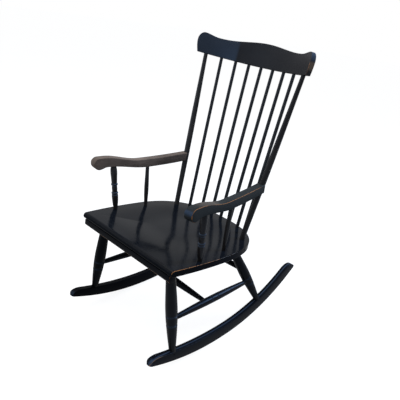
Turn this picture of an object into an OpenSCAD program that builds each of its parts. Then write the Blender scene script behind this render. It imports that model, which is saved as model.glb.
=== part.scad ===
// Boston rocking chair, painted wood: plank seat, bent crest rail over a spindle back,
// scrolled arms, turned legs, stretchers and two curved runners.
// The chair faces -Y and stands on Z = 0 under the lowest point of its runners.
// Left and right are the sitter's: left is +X.

/* [Seat] */
// Width of the seat along its straight front edge
seat_width = 506; // [480:1:530]
// Width of the seat at its widest
seat_spread = 536; // [526:1:560]
// Depth of the seat along its slope
seat_depth = 509; // [500:1:530]
// Distance from the front edge back to the widest place
seat_waist = 223; // [205:1:240]
// Thickness of the seat plank
seat_thickness = 24; // [22:0.5:32]
// Height of the front edge above the floor
seat_height = 417; // [405:1:430]
// How far the front edge stands ahead of the lowest point of the runners
seat_forward = 302; // [295:1:310]
// Backward slope of the seat, degrees
seat_slope = 5.5; // [4:0.1:7]
// Radius of the two front corners seen from above
seat_corner = 4; // [3:0.5:6]
// Depth of the hollow in the seat
saddle_depth = 4; // [2:0.5:6]
// Width across the hollow in the seat
saddle_width = 400; // [360:1:420]
// Distance from the front edge to the middle of the hollow
saddle_middle = 248; // [238:1:258]

/* [Front strip] */
// Length of the strip under the front edge
strip_length = 488; // [450:1:496]
// Height of the strip
strip_height = 26; // [20:0.5:32]
// Thickness of the strip from front to back
strip_depth = 26; // [20:0.5:28]
// How far the strip is set back from the seat's front edge
strip_setback = 4; // [2:0.5:6]
// Radius of the strip's rounded lower front edge
strip_round = 11; // [6:0.5:14]

/* [Back] */
// Lean of the middle spindle from upright, degrees
back_lean = 11.6; // [10:0.1:13]
// Length of the middle spindle from the seat to the crest rail
back_height = 641; // [615:1:665]
// Number of spindles between the two posts
spindle_count = 7; // [5:1:7]
// Diameter of a spindle at the seat
spindle_foot_diameter = 12.6; // [11:0.2:14]
// Diameter of a spindle at the crest rail
spindle_top_diameter = 11.2; // [10:0.2:12]
// Distance between the feet of the two outer spindles
spindle_foot_spread = 318; // [300:1:324]
// How far the spindles stand in from the rim of the seat
spindle_inset = 16; // [14:0.5:19]
// Distance between the tops of the two posts
post_spread = 491; // [480:1:500]
// Distance between the feet of the two posts
post_foot_spread = 387; // [380:1:392]
// How far the posts stand in from the rim of the seat
post_inset = 27.5; // [25:0.5:30]
// Largest diameter of a post
post_diameter = 22.4; // [20:0.2:25]
// Diameter of the tenon on top of a post
post_tenon_diameter = 9.6; // [8:0.2:11]

/* [Crest rail] */
// Radius to which the crest rail is bent, at its middle thickness
crest_bend = 458; // [445:1:475]
// Length of the crest rail along its bend, at its lower edge
crest_length = 592; // [584:1:600]
// How far each ear of the crest rail spreads past the end of the lower edge
crest_flare = 9; // [6:0.5:12]
// Thickness of the crest rail
crest_thickness = 17.6; // [16:0.2:20]
// Height of the crest rail in the middle
crest_middle_height = 92; // [86:1:100]
// Height of the crest rail at its two dips
crest_dip_height = 73; // [68:1:80]
// Height of the crest rail at its two ears
crest_ear_height = 81; // [77:1:86]
// Lean of the crest rail from upright, degrees
crest_lean = 11.6; // [10:0.1:14]
// Length of the rounding at the top of an ear
crest_ear_round = 28; // [24:1:32]

/* [Arms] */
// Width of an arm
arm_width = 32; // [30:0.5:38]
// Height of the front of an arm above the floor
arm_height = 623; // [613:1:633]
// How far the rear of an arm lies below its front
arm_fall = 23.5; // [19:0.5:28]
// Depth of an arm at its front
arm_front_depth = 37; // [34:0.5:40]
// Depth of an arm at its rear
arm_rear_depth = 33; // [30:0.5:36]
// How far an arm reaches ahead of its front post
arm_overhang = 83; // [76:1:90]
// How far the rear end of an arm rises
arm_rear_rise = 7.5; // [3:0.5:11]
// Radius of the nose of an arm seen from the side
arm_nose_radius = 22.5; // [20.5:0.5:24]
// Radius of the two corners of the nose seen from above
arm_corner = 3; // [2:0.5:5]
// Distance between the middles of the two arms at their front posts
arm_spread = 498; // [490:1:510]
// Distance between the feet of the two front arm posts
arm_post_foot_spread = 485; // [476:1:492]
// Distance from the seat's front edge to the foot of a front arm post
arm_post_back = 132; // [124:1:140]
// How far the top of a front arm post stands ahead of its foot
arm_post_ahead = 9; // [4:0.5:14]
// Diameter of a front arm post
arm_post_diameter = 25; // [22:0.5:28]
// Distance between the feet of the two rear arm spindles
arm_spindle_foot_spread = 454; // [444:1:460]
// Distance from the seat's front edge to the foot of a rear arm spindle
arm_spindle_back = 267; // [258:1:276]
// Distance along the arm from its front post to its rear spindle
arm_spindle_along = 148; // [138:1:158]
// Diameter of a rear arm spindle
arm_spindle_diameter = 17; // [15:0.5:19]

/* [Legs] */
// Largest diameter of a leg
leg_diameter = 42; // [38:0.2:45]
// Distance between the front legs where they enter the seat
front_leg_spread = 372; // [360:1:384]
// Distance from the seat's front edge to the front legs
front_leg_back = 57; // [53:1:62]
// Distance between the rear legs where they enter the seat
rear_leg_spread = 344; // [332:1:356]
// Distance from the seat's front edge to the rear legs
rear_leg_back = 372; // [364:1:380]
// How far ahead of the runners' lowest point the front legs stand on them
front_foot = 259; // [250:1:268]
// How far behind the runners' lowest point the rear legs stand on them
rear_foot = 207; // [198:1:216]
// Diameter of the tenon at the bottom of a leg
foot_tenon_diameter = 12; // [10:0.5:13]
// Length of the tenon at the bottom of a leg
foot_tenon = 24; // [18:1:28]

/* [Stretchers] */
// Largest diameter of a stretcher
stretcher_diameter = 28.6; // [26:0.2:31]
// Diameter of a stretcher at its ends
stretcher_end_diameter = 18.5; // [16:0.5:20]
// Diameter of the centre stretcher's ends
centre_end_diameter = 16.5; // [15:0.5:18]

/* [Runners] */
// Distance between the middles of the two runners
runner_track = 486; // [476:1:496]
// Length of a runner ahead of its lowest point
runner_front = 364; // [355:1:373]
// Length of a runner behind its lowest point
runner_rear = 450; // [441:1:459]
// Width of a runner
runner_width = 25; // [23:0.5:30]
// Height of a runner at its lowest point
runner_height = 47; // [44:0.5:50]
// Radius of the sole ahead of the lowest point
runner_front_radius = 900; // [860:1:940]
// Radius of the top edge ahead of the lowest point
runner_front_top_radius = 1200; // [1160:1:1240]
// Radius of the sole behind the lowest point
runner_rear_radius = 736; // [710:1:760]
// Radius of the top edge behind the lowest point
runner_rear_top_radius = 681; // [660:1:700]
// Length of the flat worn on the sole at its lowest point
runner_flat = 12; // [6:1:20]
// Length of the rounded nose at the front of a runner
runner_nose = 42; // [36:1:50]
// Radius of the two front corners of a runner seen from above
runner_corner = 10; // [8:0.5:11]
// Length over which a runner's top edge falls towards the sole at its rear
runner_heel = 78; // [70:1:86]

/* [Joinery] */
// Depth of a socket bored in the seat
seat_socket = 15; // [13:0.5:16]
// Depth of a spindle's socket in the crest rail
crest_socket = 20; // [16:0.5:26]
// Depth of a stretcher's socket in a leg
leg_socket = 15; // [12:0.5:16]
// Depth of a socket bored in an arm
arm_socket = 14; // [12:0.5:16]
// Diameter of the pegs that hold the arms to the back posts
arm_peg_diameter = 7; // [5:0.5:8]
// Length of the pegs that hold the arms to the back posts
arm_peg_length = 46; // [40:1:52]
// Diameter of the pegs that lock the legs in the runners
foot_peg_diameter = 5; // [4:0.5:6]
// Clearance all round a tenon in its socket
fit_gap = 0.15; // [0.1:0.05:0.25]

/* [Hidden] */
$fn = 48;

// Paint colours as the photograph shows them
paint = "#26272b";
seat_paint = "#37373b";
worn_paint = "#3a3430";

// Power of the seat's rounded rear outline
rim_power = 2.62;
// Points along each smooth outline
outline_steps = 24;
// A cut runs past what it cuts by this much
overrun = 4;
// Places and radii along a leg from the seat to the runner, as shares of its length and
// of its largest radius
leg_shares = [[0, 0.68], [0.1, 0.76], [0.2, 0.835], [0.3, 0.9], [0.4, 0.965], [0.5, 1],
    [0.6, 0.98], [0.7, 0.91], [0.8, 0.81], [0.9, 0.685], [0.96, 0.61], [1, 0.575]];
// Places and radii along a back post from the seat to the crest rail and a little past it
post_shares = [[0, 0.865], [0.1, 0.9], [0.2, 0.935], [0.3, 0.975], [0.4, 1], [0.5, 0.995],
    [0.6, 0.965], [0.7, 0.9], [0.8, 0.82], [0.9, 0.745], [1.02, 0.68]];
// Scored rings along a leg, as shares of its length
leg_ring_shares = [0.578, 0.686];
// Where the side stretchers enter the front and the rear legs, and the rear stretcher the rear
// legs, as shares of a leg's length
front_stretcher_share = 0.624;
back_stretcher_share = 0.655;
rear_stretcher_share = 0.45;
// Where the centre stretcher enters the side stretchers, as a share of their length
centre_stretcher_share = 0.4;
// Places and radii along a front arm post from the seat to the arm
arm_post_shares = [[0, 0.64], [0.05, 0.7], [0.15, 0.86], [0.25, 0.96], [0.31, 0.97],
    [0.345, 0.92], [0.355, 0.84], [0.362, 0.95], [0.38, 1.02], [0.398, 0.95], [0.405, 0.84],
    [0.43, 0.82], [0.48, 0.85], [0.53, 0.82], [0.552, 0.84], [0.56, 0.95], [0.578, 1.02],
    [0.596, 0.95], [0.603, 0.84], [0.65, 0.87], [0.75, 0.94], [0.84, 1.02], [0.91, 0.99],
    [0.96, 0.86], [1, 0.64]];
// Places and radii along a rear arm spindle
arm_spindle_shares = [[0, 0.76], [0.15, 0.84], [0.3, 0.96], [0.45, 1], [0.6, 0.96], [0.8, 0.86],
    [1, 0.8]];
// Places along an arm, as shares of its length behind the front post; negative is ahead of it
arm_top_peak_share = -0.12;
arm_top_valley_share = 0.32;
arm_under_peak_share = -0.095;
arm_under_valley_share = 0.415;
// Place of the ears and dips along the crest rail, as shares of its half width
ear_share = 0.935;
dip_share = 0.735;
// Where an ear is widest, as a share of its height
ear_widest_share = 0.58;
// Height left at the very rear of a runner, as a share of its height without the fall
heel_share = 0.16;
// Depth and half width of a scored ring, as shares of the radius of the piece that carries it
ring_depth_share = 0.07;
ring_width_share = 0.08;

// Cosine and sine of the seat's slope and of the crest rail's lean
seat_cos = cos(seat_slope);
seat_sin = sin(seat_slope);
lean_cos = cos(crest_lean);
lean_sin = sin(crest_lean);

// A point on the seat: x across, v back along the slope, w square to the top face
function seat_point(x, v, w) = [x,
    v * seat_cos + w * seat_sin - seat_forward,
    seat_height - v * seat_sin + w * seat_cos];

// How far back the rim of the seat lies at x, drawn in by an inset
function rim_v(x, inset) = seat_waist + (seat_depth - seat_waist - inset)
    * pow(1 - pow(abs(x) / (seat_spread / 2 - inset), rim_power), 1 / rim_power);

// The middle spindle runs from the seat's rim to the crest rail's lower edge
back_foot = seat_point(0, rim_v(0, spindle_inset), 0);
back_top = back_foot + back_height * [0, sin(back_lean), cos(back_lean)];

// A point on the crest rail: x across, d behind its middle surface, h above its lower edge
function bend_y(x) = sqrt(crest_bend * crest_bend - x * x) - crest_bend;
function crest_point(x, d, h) = back_top + [x,
    (bend_y(x) + d) * lean_cos + h * lean_sin,
    h * lean_cos - (bend_y(x) + d) * lean_sin];

// Share of a smooth fall from 1 at a to 0 at b
function fall(s, a, b) = (1 + cos(180 * min(1, max(0, (s - a) / (b - a))))) / 2;

// Places on a line from a to b: at a share of its length, and at a distance from a
function at_share(a, b, share) = a + (b - a) * share;
function at_length(a, b, distance) = a + (b - a) * distance / norm(b - a);

// Radius at a share along a table of places and radii
function table_radius(table, share, radius) = radius * lookup(share, table);

// The sole and the top edge of a runner at y
function sole_radius(y) = y < 0 ? runner_front_radius : runner_rear_radius;
function sole_run(y) = max(0, abs(y) - runner_flat / 2);
function sole_z(y) = sole_radius(y) - sqrt(sole_radius(y) * sole_radius(y) - sole_run(y) * sole_run(y));
function top_radius(y) = y < 0 ? runner_front_top_radius : runner_rear_top_radius;
function top_z(y) = runner_height + top_radius(y) - sqrt(top_radius(y) * top_radius(y) - y * y);
function top_pitch(y) = -asin(y / top_radius(y));

// Feet and tops of the pieces; side is 1 on the left and -1 on the right
post_foot_v = rim_v(post_foot_spread / 2, post_inset);
function post_foot(side) = seat_point(side * post_foot_spread / 2, post_foot_v, 0);
function post_top(side) = crest_point(side * post_spread / 2, 0, 0);
post_length = norm(post_top(1) - post_foot(1));
post_foot_radius = table_radius(post_shares, 0, post_diameter / 2);

spindle_foot_pitch = spindle_foot_spread / (spindle_count - 1);
spindle_top_pitch = post_spread / (spindle_count + 1);
function spindle_place(i) = i - (spindle_count + 1) / 2;
function spindle_foot(i) = let(x = spindle_place(i) * spindle_foot_pitch)
    seat_point(x, rim_v(x, spindle_inset), 0);
function spindle_top(i) = crest_point(spindle_place(i) * spindle_top_pitch, 0, 0);

function arm_post_foot(side) = seat_point(side * arm_post_foot_spread / 2, arm_post_back, 0);
arm_front_y = arm_post_foot(1)[1] - arm_post_ahead;
arm_rear_height = arm_height - arm_fall;
// The arm's rear end meets the post where the post passes the arm's own height
arm_end_z = arm_rear_height + arm_rear_rise - arm_rear_depth / 2;
arm_post_share = (arm_end_z - post_foot(1)[2]) / (post_top(1)[2] - post_foot(1)[2]);
arm_rear_middle = at_share(post_foot(1), post_top(1), arm_post_share);
arm_turn = atan2(arm_spread / 2 - arm_rear_middle[0], arm_rear_middle[1] - arm_front_y);
arm_reach = (arm_rear_middle[1] - arm_front_y) / cos(arm_turn);

// Top and underside of an arm at s behind its front post
function arm_rise(s, valley) = arm_rear_rise * pow(max(0, (s - valley) / (arm_reach - valley)), 2);
function arm_top(s) = arm_rear_height
    + arm_fall * fall(s, arm_top_peak_share * arm_reach, arm_top_valley_share * arm_reach)
    + arm_rise(s, arm_top_valley_share * arm_reach);
// The rounded nose of an arm, whose lower lip hangs below the underside behind it
arm_nose_s = arm_nose_radius - arm_overhang;
arm_nose_z = arm_top(arm_nose_s) - arm_nose_radius;
arm_lip = arm_height - arm_front_depth - arm_nose_z + arm_nose_radius;
function arm_under(s) = arm_rear_height - arm_rear_depth
    + (arm_fall + arm_rear_depth - arm_front_depth)
    * fall(s, arm_under_peak_share * arm_reach, arm_under_valley_share * arm_reach)
    + arm_rise(s, arm_under_valley_share * arm_reach)
    - arm_lip * fall(s, arm_nose_s, arm_under_peak_share * arm_reach);
function arm_point(side, s, z) = [side * (arm_spread / 2 - s * sin(arm_turn)),
    arm_front_y + s * cos(arm_turn), z];
function arm_post_top(side) = arm_point(side, 0, arm_under(0));
function arm_spindle_foot(side) = seat_point(side * arm_spindle_foot_spread / 2, arm_spindle_back, 0);
function arm_spindle_top(side) = arm_point(side, arm_spindle_along, arm_under(arm_spindle_along));

// Legs run from the underside of the seat, end 0, to the top of a runner, end 1
function leg_end(front, side, end) = end == 0
    ? seat_point(side * (front ? front_leg_spread : rear_leg_spread) / 2,
        front ? front_leg_back : rear_leg_back, -seat_thickness)
    : let(y = front ? -front_foot : rear_foot) [side * runner_track / 2, y, top_z(y)];
function leg_place(front, side, share) = at_share(leg_end(front, side, 0), leg_end(front, side, 1), share);
function side_end(front, side) = leg_place(front, side, front ? front_stretcher_share : back_stretcher_share);
function side_middle(side) = at_share(side_end(true, side), side_end(false, side), centre_stretcher_share);

// Pegs
arm_peg_z = arm_end_z;
function foot_peg_place(front, side) = at_length(leg_end(front, side, 1), leg_end(front, side, 0),
    -foot_tenon / 2);

// Places the children's Z axis on the line from a to b, with its origin at a
module along(a, b) {
    v = b - a;
    translate(a)
        rotate([0, acos(v[2] / norm(v)), atan2(v[1], v[0])])
            children();
}

// A round hole or pin on the line from a to b, between two distances from a
module rod(a, b, radius, start, end) {
    along(a, b)
        translate([0, 0, start])
            cylinder(r = radius, h = end - start);
}

// A turned body on the line from a to b, with stubs that run on past both ends; scored
// rings are cut where the list of ring shares says
module turned(a, b, table, radius, low_stub, high_stub, rings = [], gap = 0) {
    length = norm(b - a);
    first = radius * table[0][1] + gap;
    last = radius * table[len(table) - 1][1] + gap;
    body = [for (p = table) [radius * p[1] + gap, length * p[0]]];
    along(a, b)
        difference() {
            rotate_extrude()
                polygon(concat([[0, -low_stub], [first, -low_stub]], body,
                    [[last, length + high_stub], [0, length + high_stub]]));
            for (share = rings)
                scored_ring(length * share, table_radius(table, share, radius));
        }
}

// A V-shaped ring cut round a turned body at height z
module scored_ring(z, radius) {
    depth = radius * ring_depth_share;
    half = radius * ring_width_share;
    translate([0, 0, z])
        rotate_extrude()
            polygon([[radius - depth, 0], [radius + depth, 2 * half], [radius + depth, -2 * half]]);
}

// All that lies below a plane through a point, tipped about X
module below(point, pitch, reach) {
    translate(point)
        rotate([pitch, 0, 0])
            translate([-reach, -reach, -reach])
                cube([2 * reach, 2 * reach, reach]);
}

// All that lies above a plane through a point, tipped about X
module above(point, pitch, reach) {
    translate(point)
        rotate([pitch, 0, 0])
            translate([-reach, -reach, 0])
                cube([2 * reach, 2 * reach, reach]);
}

// The seat's own frame: X across, Y back along the slope, Z square to the top
module seat_frame() {
    translate([0, -seat_forward, seat_height])
        rotate([-seat_slope, 0, 0])
            children();
}

// The crest rail's own frame: its lower edge on Z = 0, its bend about the Z axis
module crest_frame() {
    translate(back_top)
        rotate([-crest_lean, 0, 0])
            translate([0, -crest_bend, 0])
                children();
}

// An arm's own frame: Y runs back along the arm from its front post
module arm_frame(side) {
    mirror([side < 0 ? 1 : 0, 0, 0])
        translate([arm_spread / 2, arm_front_y, 0])
            rotate([0, 0, arm_turn])
                children();
}

// Extrudes a Y-Z outline sideways by a width, centred on X = 0
module sideways(width) {
    rotate([90, 0, 90])
        linear_extrude(width, center = true)
            children();
}

// Half the seat's outline, from the middle of the front to the middle of the back
function seat_side_x(v) = seat_spread / 2
    - (seat_spread - seat_width) / 2 * pow((seat_waist - v) / seat_waist, 2);
seat_corner_points = [for (i = [0:6]) let(t = 90 * i / 6)
    [seat_side_x(seat_corner) - seat_corner * (1 - sin(t)), seat_corner * (1 - cos(t))]];
seat_side_points = [for (i = [1:outline_steps / 2 - 1]) let(v = seat_corner
    + (seat_waist - seat_corner) * 2 * i / outline_steps) [seat_side_x(v), v]];
seat_rim_points = [for (i = [0:outline_steps]) let(t = 90 * i / outline_steps)
    [seat_spread / 2 * pow(cos(t), 2 / rim_power),
        seat_waist + (seat_depth - seat_waist) * pow(sin(t), 2 / rim_power)]];
seat_half = concat(seat_corner_points, seat_side_points, seat_rim_points);
seat_outline = concat(seat_half, [for (i = [len(seat_half) - 2:-1:0]) [-seat_half[i][0], seat_half[i][1]]]);

module seat_plank() {
    intersection() {
        translate([0, 0, -seat_thickness])
            linear_extrude(seat_thickness)
                polygon(seat_outline);
        sideways(seat_spread + overrun)
            union() {
                translate([seat_thickness / 2, -seat_thickness])
                    square([seat_depth, seat_thickness]);
                translate([seat_thickness / 2, -seat_thickness / 2])
                    circle(d = seat_thickness);
            }
    }
}

// The shallow hollow is the cap of a large ball
saddle_radius = (saddle_width * saddle_width / 4 + saddle_depth * saddle_depth) / (2 * saddle_depth);

module seat() {
    color(seat_paint)
        difference() {
            seat_frame()
                difference() {
                    seat_plank();
                    translate([0, saddle_middle, saddle_radius - saddle_depth])
                        sphere(r = saddle_radius, $fn = 360);
                }
            for (i = [1:spindle_count])
                rod(spindle_foot(i), spindle_top(i), spindle_foot_diameter / 2 + fit_gap,
                    -seat_socket, spindle_foot_diameter);
            for (side = [-1, 1]) {
                rod(post_foot(side), post_top(side), post_foot_radius + fit_gap,
                    -seat_socket, post_diameter);
                rod(arm_post_foot(side), arm_post_top(side),
                    table_radius(arm_post_shares, 0, arm_post_diameter / 2) + fit_gap,
                    -seat_socket, arm_post_diameter);
                rod(arm_spindle_foot(side), arm_spindle_top(side),
                    table_radius(arm_spindle_shares, 0, arm_spindle_diameter / 2) + fit_gap,
                    -seat_socket, arm_spindle_diameter);
                for (front = [true, false])
                    rod(leg_end(front, side, 0), leg_end(front, side, 1),
                        table_radius(leg_shares, 0, leg_diameter / 2) + fit_gap,
                        -seat_socket, leg_diameter);
            }
        }
}

module front_strip() {
    color(paint)
        seat_frame()
            sideways(strip_length)
                translate([strip_setback, -seat_thickness - strip_height])
                    union() {
                        translate([strip_round, 0])
                            square([strip_depth - strip_round, strip_height]);
                        translate([0, strip_round])
                            square([strip_depth, strip_height - strip_round]);
                        translate([strip_round, strip_round])
                            circle(r = strip_round);
                    }
}

// Top edge of the crest rail seen from the front: a low hump, and a dip and an ear on each side
crest_half_angle = (crest_length / 2 + crest_flare) / crest_bend * 180 / PI;
crest_outer = crest_bend + crest_thickness / 2;
crest_half_width = crest_outer * sin(crest_half_angle);
function crest_height_at(share) = share < dip_share
    ? crest_dip_height + (crest_middle_height - crest_dip_height) * fall(share, 0, dip_share)
    : crest_ear_height - (crest_ear_height - crest_dip_height) * fall(share, dip_share, ear_share);
crest_top_edge = [for (i = [-outline_steps:outline_steps]) let(share = i / outline_steps)
    [crest_half_width * share, crest_height_at(abs(share))]];
crest_outline = concat([[crest_half_width, 0], [-crest_half_width, 0]], crest_top_edge);

module crest_rail() {
    reach = crest_outer + overrun;
    color(paint)
        difference() {
            crest_frame()
                difference() {
                    intersection() {
                        linear_extrude(crest_middle_height)
                            intersection() {
                                difference() {
                                    circle(r = crest_outer, $fn = 180);
                                    circle(r = crest_outer - crest_thickness, $fn = 180);
                                }
                                crest_wedge(reach);
                            }
                        translate([0, reach, 0])
                            rotate([90, 0, 0])
                                linear_extrude(reach)
                                    polygon(crest_outline);
                    }
                    for (side = [-1, 1])
                        ear_cutter(side);
                }
            for (i = [1:spindle_count])
                rod(spindle_top(i), spindle_foot(i), spindle_top_diameter / 2 + fit_gap,
                    -crest_socket, spindle_top_diameter);
            for (side = [-1, 1])
                rod(post_top(side), post_foot(side), post_tenon_diameter / 2 + fit_gap,
                    -crest_socket, post_tenon_diameter);
        }
}

// The crest rail's ends are square to its bend: all that lies between them
module crest_wedge(reach) {
    x = reach * sin(crest_half_angle);
    y = reach * cos(crest_half_angle);
    polygon([[0, 0], [x, y], [x, 2 * reach], [-x, 2 * reach], [-x, y]]);
}

// What is shaped away at the end of the rail, square through it: the ear spreads from the lower
// edge to its widest and is rounded from there to its top
module ear_cutter(side) {
    widest = crest_ear_height * ear_widest_share;
    crown = crest_ear_height - widest;
    rotate([0, 0, -side * crest_half_angle])
        mirror([side < 0 ? 1 : 0, 0, 0])
            translate([0, crest_bend + crest_thickness, 0])
                rotate([90, 0, 0])
                    linear_extrude(2 * crest_thickness)
                        polygon(concat([for (i = [0:8])
                            [crest_ear_round * (sin(90 * i / 8) - 1), widest + crown * cos(90 * i / 8)]],
                            [for (i = [7:-1:0])
                            [crest_flare * (sin(90 * i / 8) - 1), widest * i / 8]],
                            [[-crest_flare, -overrun], [overrun, -overrun],
                            [overrun, crest_ear_height + overrun],
                            [-crest_ear_round, crest_ear_height + overrun]]));
}

// A back post: trimmed under the crest rail, with a tenon into it and a hole for the arm's peg
module post(side) {
    foot = post_foot(side);
    top = post_top(side);
    color(paint)
        difference() {
            union() {
                difference() {
                    turned(foot, top, post_shares, post_diameter / 2, seat_socket - fit_gap, post_diameter);
                    above(crest_point(0, 0, -fit_gap), -crest_lean, crest_bend);
                }
                rod(top, foot, post_tenon_diameter / 2, fit_gap - crest_socket, post_diameter);
            }
            arm_peg(side, post_diameter, fit_gap);
        }
}

module left_post() {
    post(1);
}

module right_post() {
    post(-1);
}

// A spindle tapers a little from the seat to the crest rail and runs into both
module spindle(i) {
    foot = spindle_foot(i);
    top = spindle_top(i);
    length = norm(top - foot);
    color(paint)
        union() {
            rod(foot, top, spindle_foot_diameter / 2, fit_gap - seat_socket, 0);
            along(foot, top)
                cylinder(d1 = spindle_foot_diameter, d2 = spindle_top_diameter, h = length);
            rod(foot, top, spindle_top_diameter / 2, length, length + crest_socket - fit_gap);
        }
}

// Outline of an arm seen from the side, from its rear end round the nose and back
arm_steps = [for (i = [0:outline_steps]) arm_nose_s + (arm_reach - arm_nose_s) * i / outline_steps];
arm_nose_points = [for (i = [1:9]) let(t = -90 - 180 * i / 10)
    [arm_nose_s + arm_nose_radius * cos(t), arm_nose_z + arm_nose_radius * sin(t)]];
arm_outline = concat([for (i = [outline_steps:-1:1]) [arm_steps[i], arm_under(arm_steps[i])]],
    [[arm_nose_s, arm_nose_z - arm_nose_radius]], arm_nose_points,
    [for (s = arm_steps) [s, arm_top(s)]]);

// An arm seen from above, with its two front corners rounded
module arm_plan() {
    union() {
        translate([-arm_width / 2, arm_corner - arm_overhang])
            square([arm_width, arm_reach + arm_overhang]);
        translate([arm_corner - arm_width / 2, -arm_overhang])
            square([arm_width - 2 * arm_corner, arm_overhang]);
        for (side = [-1, 1])
            translate([side * (arm_width / 2 - arm_corner), arm_corner - arm_overhang])
                circle(r = arm_corner);
    }
}

// The arm's rear end wraps the outer side of the post and is cut away on its inner side
module arm(side) {
    inner = arm_width;
    color(worn_paint)
        difference() {
            arm_frame(side)
                intersection() {
                    sideways(arm_width)
                        polygon(arm_outline);
                    linear_extrude(arm_height)
                        arm_plan();
                }
            turned(post_foot(side), post_top(side), post_shares, post_diameter / 2, 0, post_diameter, [],
                fit_gap);
            along(post_foot(side), post_top(side))
                translate([-post_diameter / 2 - fit_gap, side < 0 ? -inner : 0, 0])
                    cube([2 * inner, inner, post_length]);
            rod(arm_post_top(side), arm_post_foot(side),
                table_radius(arm_post_shares, 1, arm_post_diameter / 2) + fit_gap,
                -arm_socket, arm_post_diameter);
            rod(arm_spindle_top(side), arm_spindle_foot(side),
                table_radius(arm_spindle_shares, 1, arm_spindle_diameter / 2) + fit_gap,
                -arm_socket, arm_spindle_diameter);
            arm_peg(side, post_diameter, fit_gap);
        }
}

module left_arm() {
    arm(1);
}

module right_arm() {
    arm(-1);
}

// The peg runs forward through the back post into the end of the arm; start is how far
// behind the post's middle the peg or its hole begins
module arm_peg(side, start, gap) {
    middle = arm_point(side, arm_reach, arm_peg_z);
    ahead = arm_point(side, 0, arm_peg_z);
    rod(middle, ahead, arm_peg_diameter / 2 + gap, -start, arm_peg_length - arm_peg_start + gap);
}

// The peg's rear end lies just below the skin of the post
arm_peg_start = sqrt(pow(table_radius(post_shares, arm_post_share, post_diameter / 2), 2)
    - pow(arm_peg_diameter / 2, 2)) - fit_gap;

module arm_post(side) {
    color(paint)
        turned(arm_post_foot(side), arm_post_top(side), arm_post_shares, arm_post_diameter / 2,
            seat_socket - fit_gap, arm_socket - fit_gap);
}

module left_arm_post() {
    arm_post(1);
}

module right_arm_post() {
    arm_post(-1);
}

module arm_spindle(side) {
    color(paint)
        turned(arm_spindle_foot(side), arm_spindle_top(side), arm_spindle_shares,
            arm_spindle_diameter / 2, seat_socket - fit_gap, arm_socket - fit_gap);
}

module left_arm_spindle() {
    arm_spindle(1);
}

module right_arm_spindle() {
    arm_spindle(-1);
}

// A leg: trimmed on the runner's top edge, with a tenon and its peg hole below
module leg(front, side) {
    top = leg_end(front, side, 0);
    foot = leg_end(front, side, 1);
    length = norm(foot - top);
    color(paint)
        difference() {
            union() {
                difference() {
                    turned(top, foot, leg_shares, leg_diameter / 2, seat_socket - fit_gap,
                        overrun, leg_ring_shares);
                    below(foot + [0, 0, fit_gap], top_pitch(foot[1]) * -1, leg_diameter);
                }
                rod(foot, top, foot_tenon_diameter / 2, fit_gap - foot_tenon, foot_tenon_diameter);
            }
            side_socket(front, side);
            if (!front)
                rear_socket(side);
            foot_peg(front, side, fit_gap);
        }
}

module front_left_leg() {
    leg(true, 1);
}

module front_right_leg() {
    leg(true, -1);
}

module rear_left_leg() {
    leg(false, 1);
}

module rear_right_leg() {
    leg(false, -1);
}

// Sockets in the legs and in the side stretchers
side_leg_radius = table_radius(leg_shares, front_stretcher_share, leg_diameter / 2);
rear_leg_radius = table_radius(leg_shares, rear_stretcher_share, leg_diameter / 2);
module side_socket(front, side) {
    rod(side_end(front, side), side_end(!front, side), stretcher_end_diameter / 2 + fit_gap,
        side_leg_radius - leg_socket, leg_diameter);
}

module rear_socket(side) {
    rod(leg_place(false, side, rear_stretcher_share), leg_place(false, -side, rear_stretcher_share),
        stretcher_end_diameter / 2 + fit_gap, rear_leg_radius - leg_socket, leg_diameter);
}

// A stretcher between two axes: thickest and scored in the middle, with plain ends in
// sockets that begin at a distance from the axes
stretcher_ring_shares = [0.46, 0.54];
module stretcher(a, b, end_diameter, start, rings) {
    end_share = end_diameter / stretcher_diameter;
    table = [for (i = [0:outline_steps]) [i / outline_steps,
        end_share + (1 - end_share) * sin(180 * i / outline_steps)]];
    low = at_length(a, b, start);
    high = at_length(b, a, start);
    stub = leg_socket - fit_gap;
    turned(at_length(low, high, stub), at_length(high, low, stub), table, stretcher_diameter / 2,
        stub, stub, rings);
}

module side_stretcher(side) {
    color(paint)
        difference() {
            stretcher(side_end(true, side), side_end(false, side), stretcher_end_diameter,
                side_leg_radius - leg_socket + fit_gap, stretcher_ring_shares);
            centre_socket(side);
        }
}

module left_side_stretcher() {
    side_stretcher(1);
}

module right_side_stretcher() {
    side_stretcher(-1);
}

// The centre stretcher enters the side stretchers as deep as their radius less a wall
centre_depth = stretcher_diameter / 3;
centre_start = stretcher_diameter / 2 - centre_depth;
module centre_socket(side) {
    rod(side_middle(side), side_middle(-side), centre_end_diameter / 2 + fit_gap,
        centre_start, stretcher_diameter);
}

module centre_stretcher() {
    color(paint)
        stretcher(side_middle(1), side_middle(-1), centre_end_diameter, centre_start + fit_gap,
            stretcher_ring_shares);
}

module rear_stretcher() {
    color(paint)
        stretcher(leg_place(false, 1, rear_stretcher_share), leg_place(false, -1, rear_stretcher_share),
            stretcher_end_diameter, rear_leg_radius - leg_socket + fit_gap, []);
}

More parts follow.
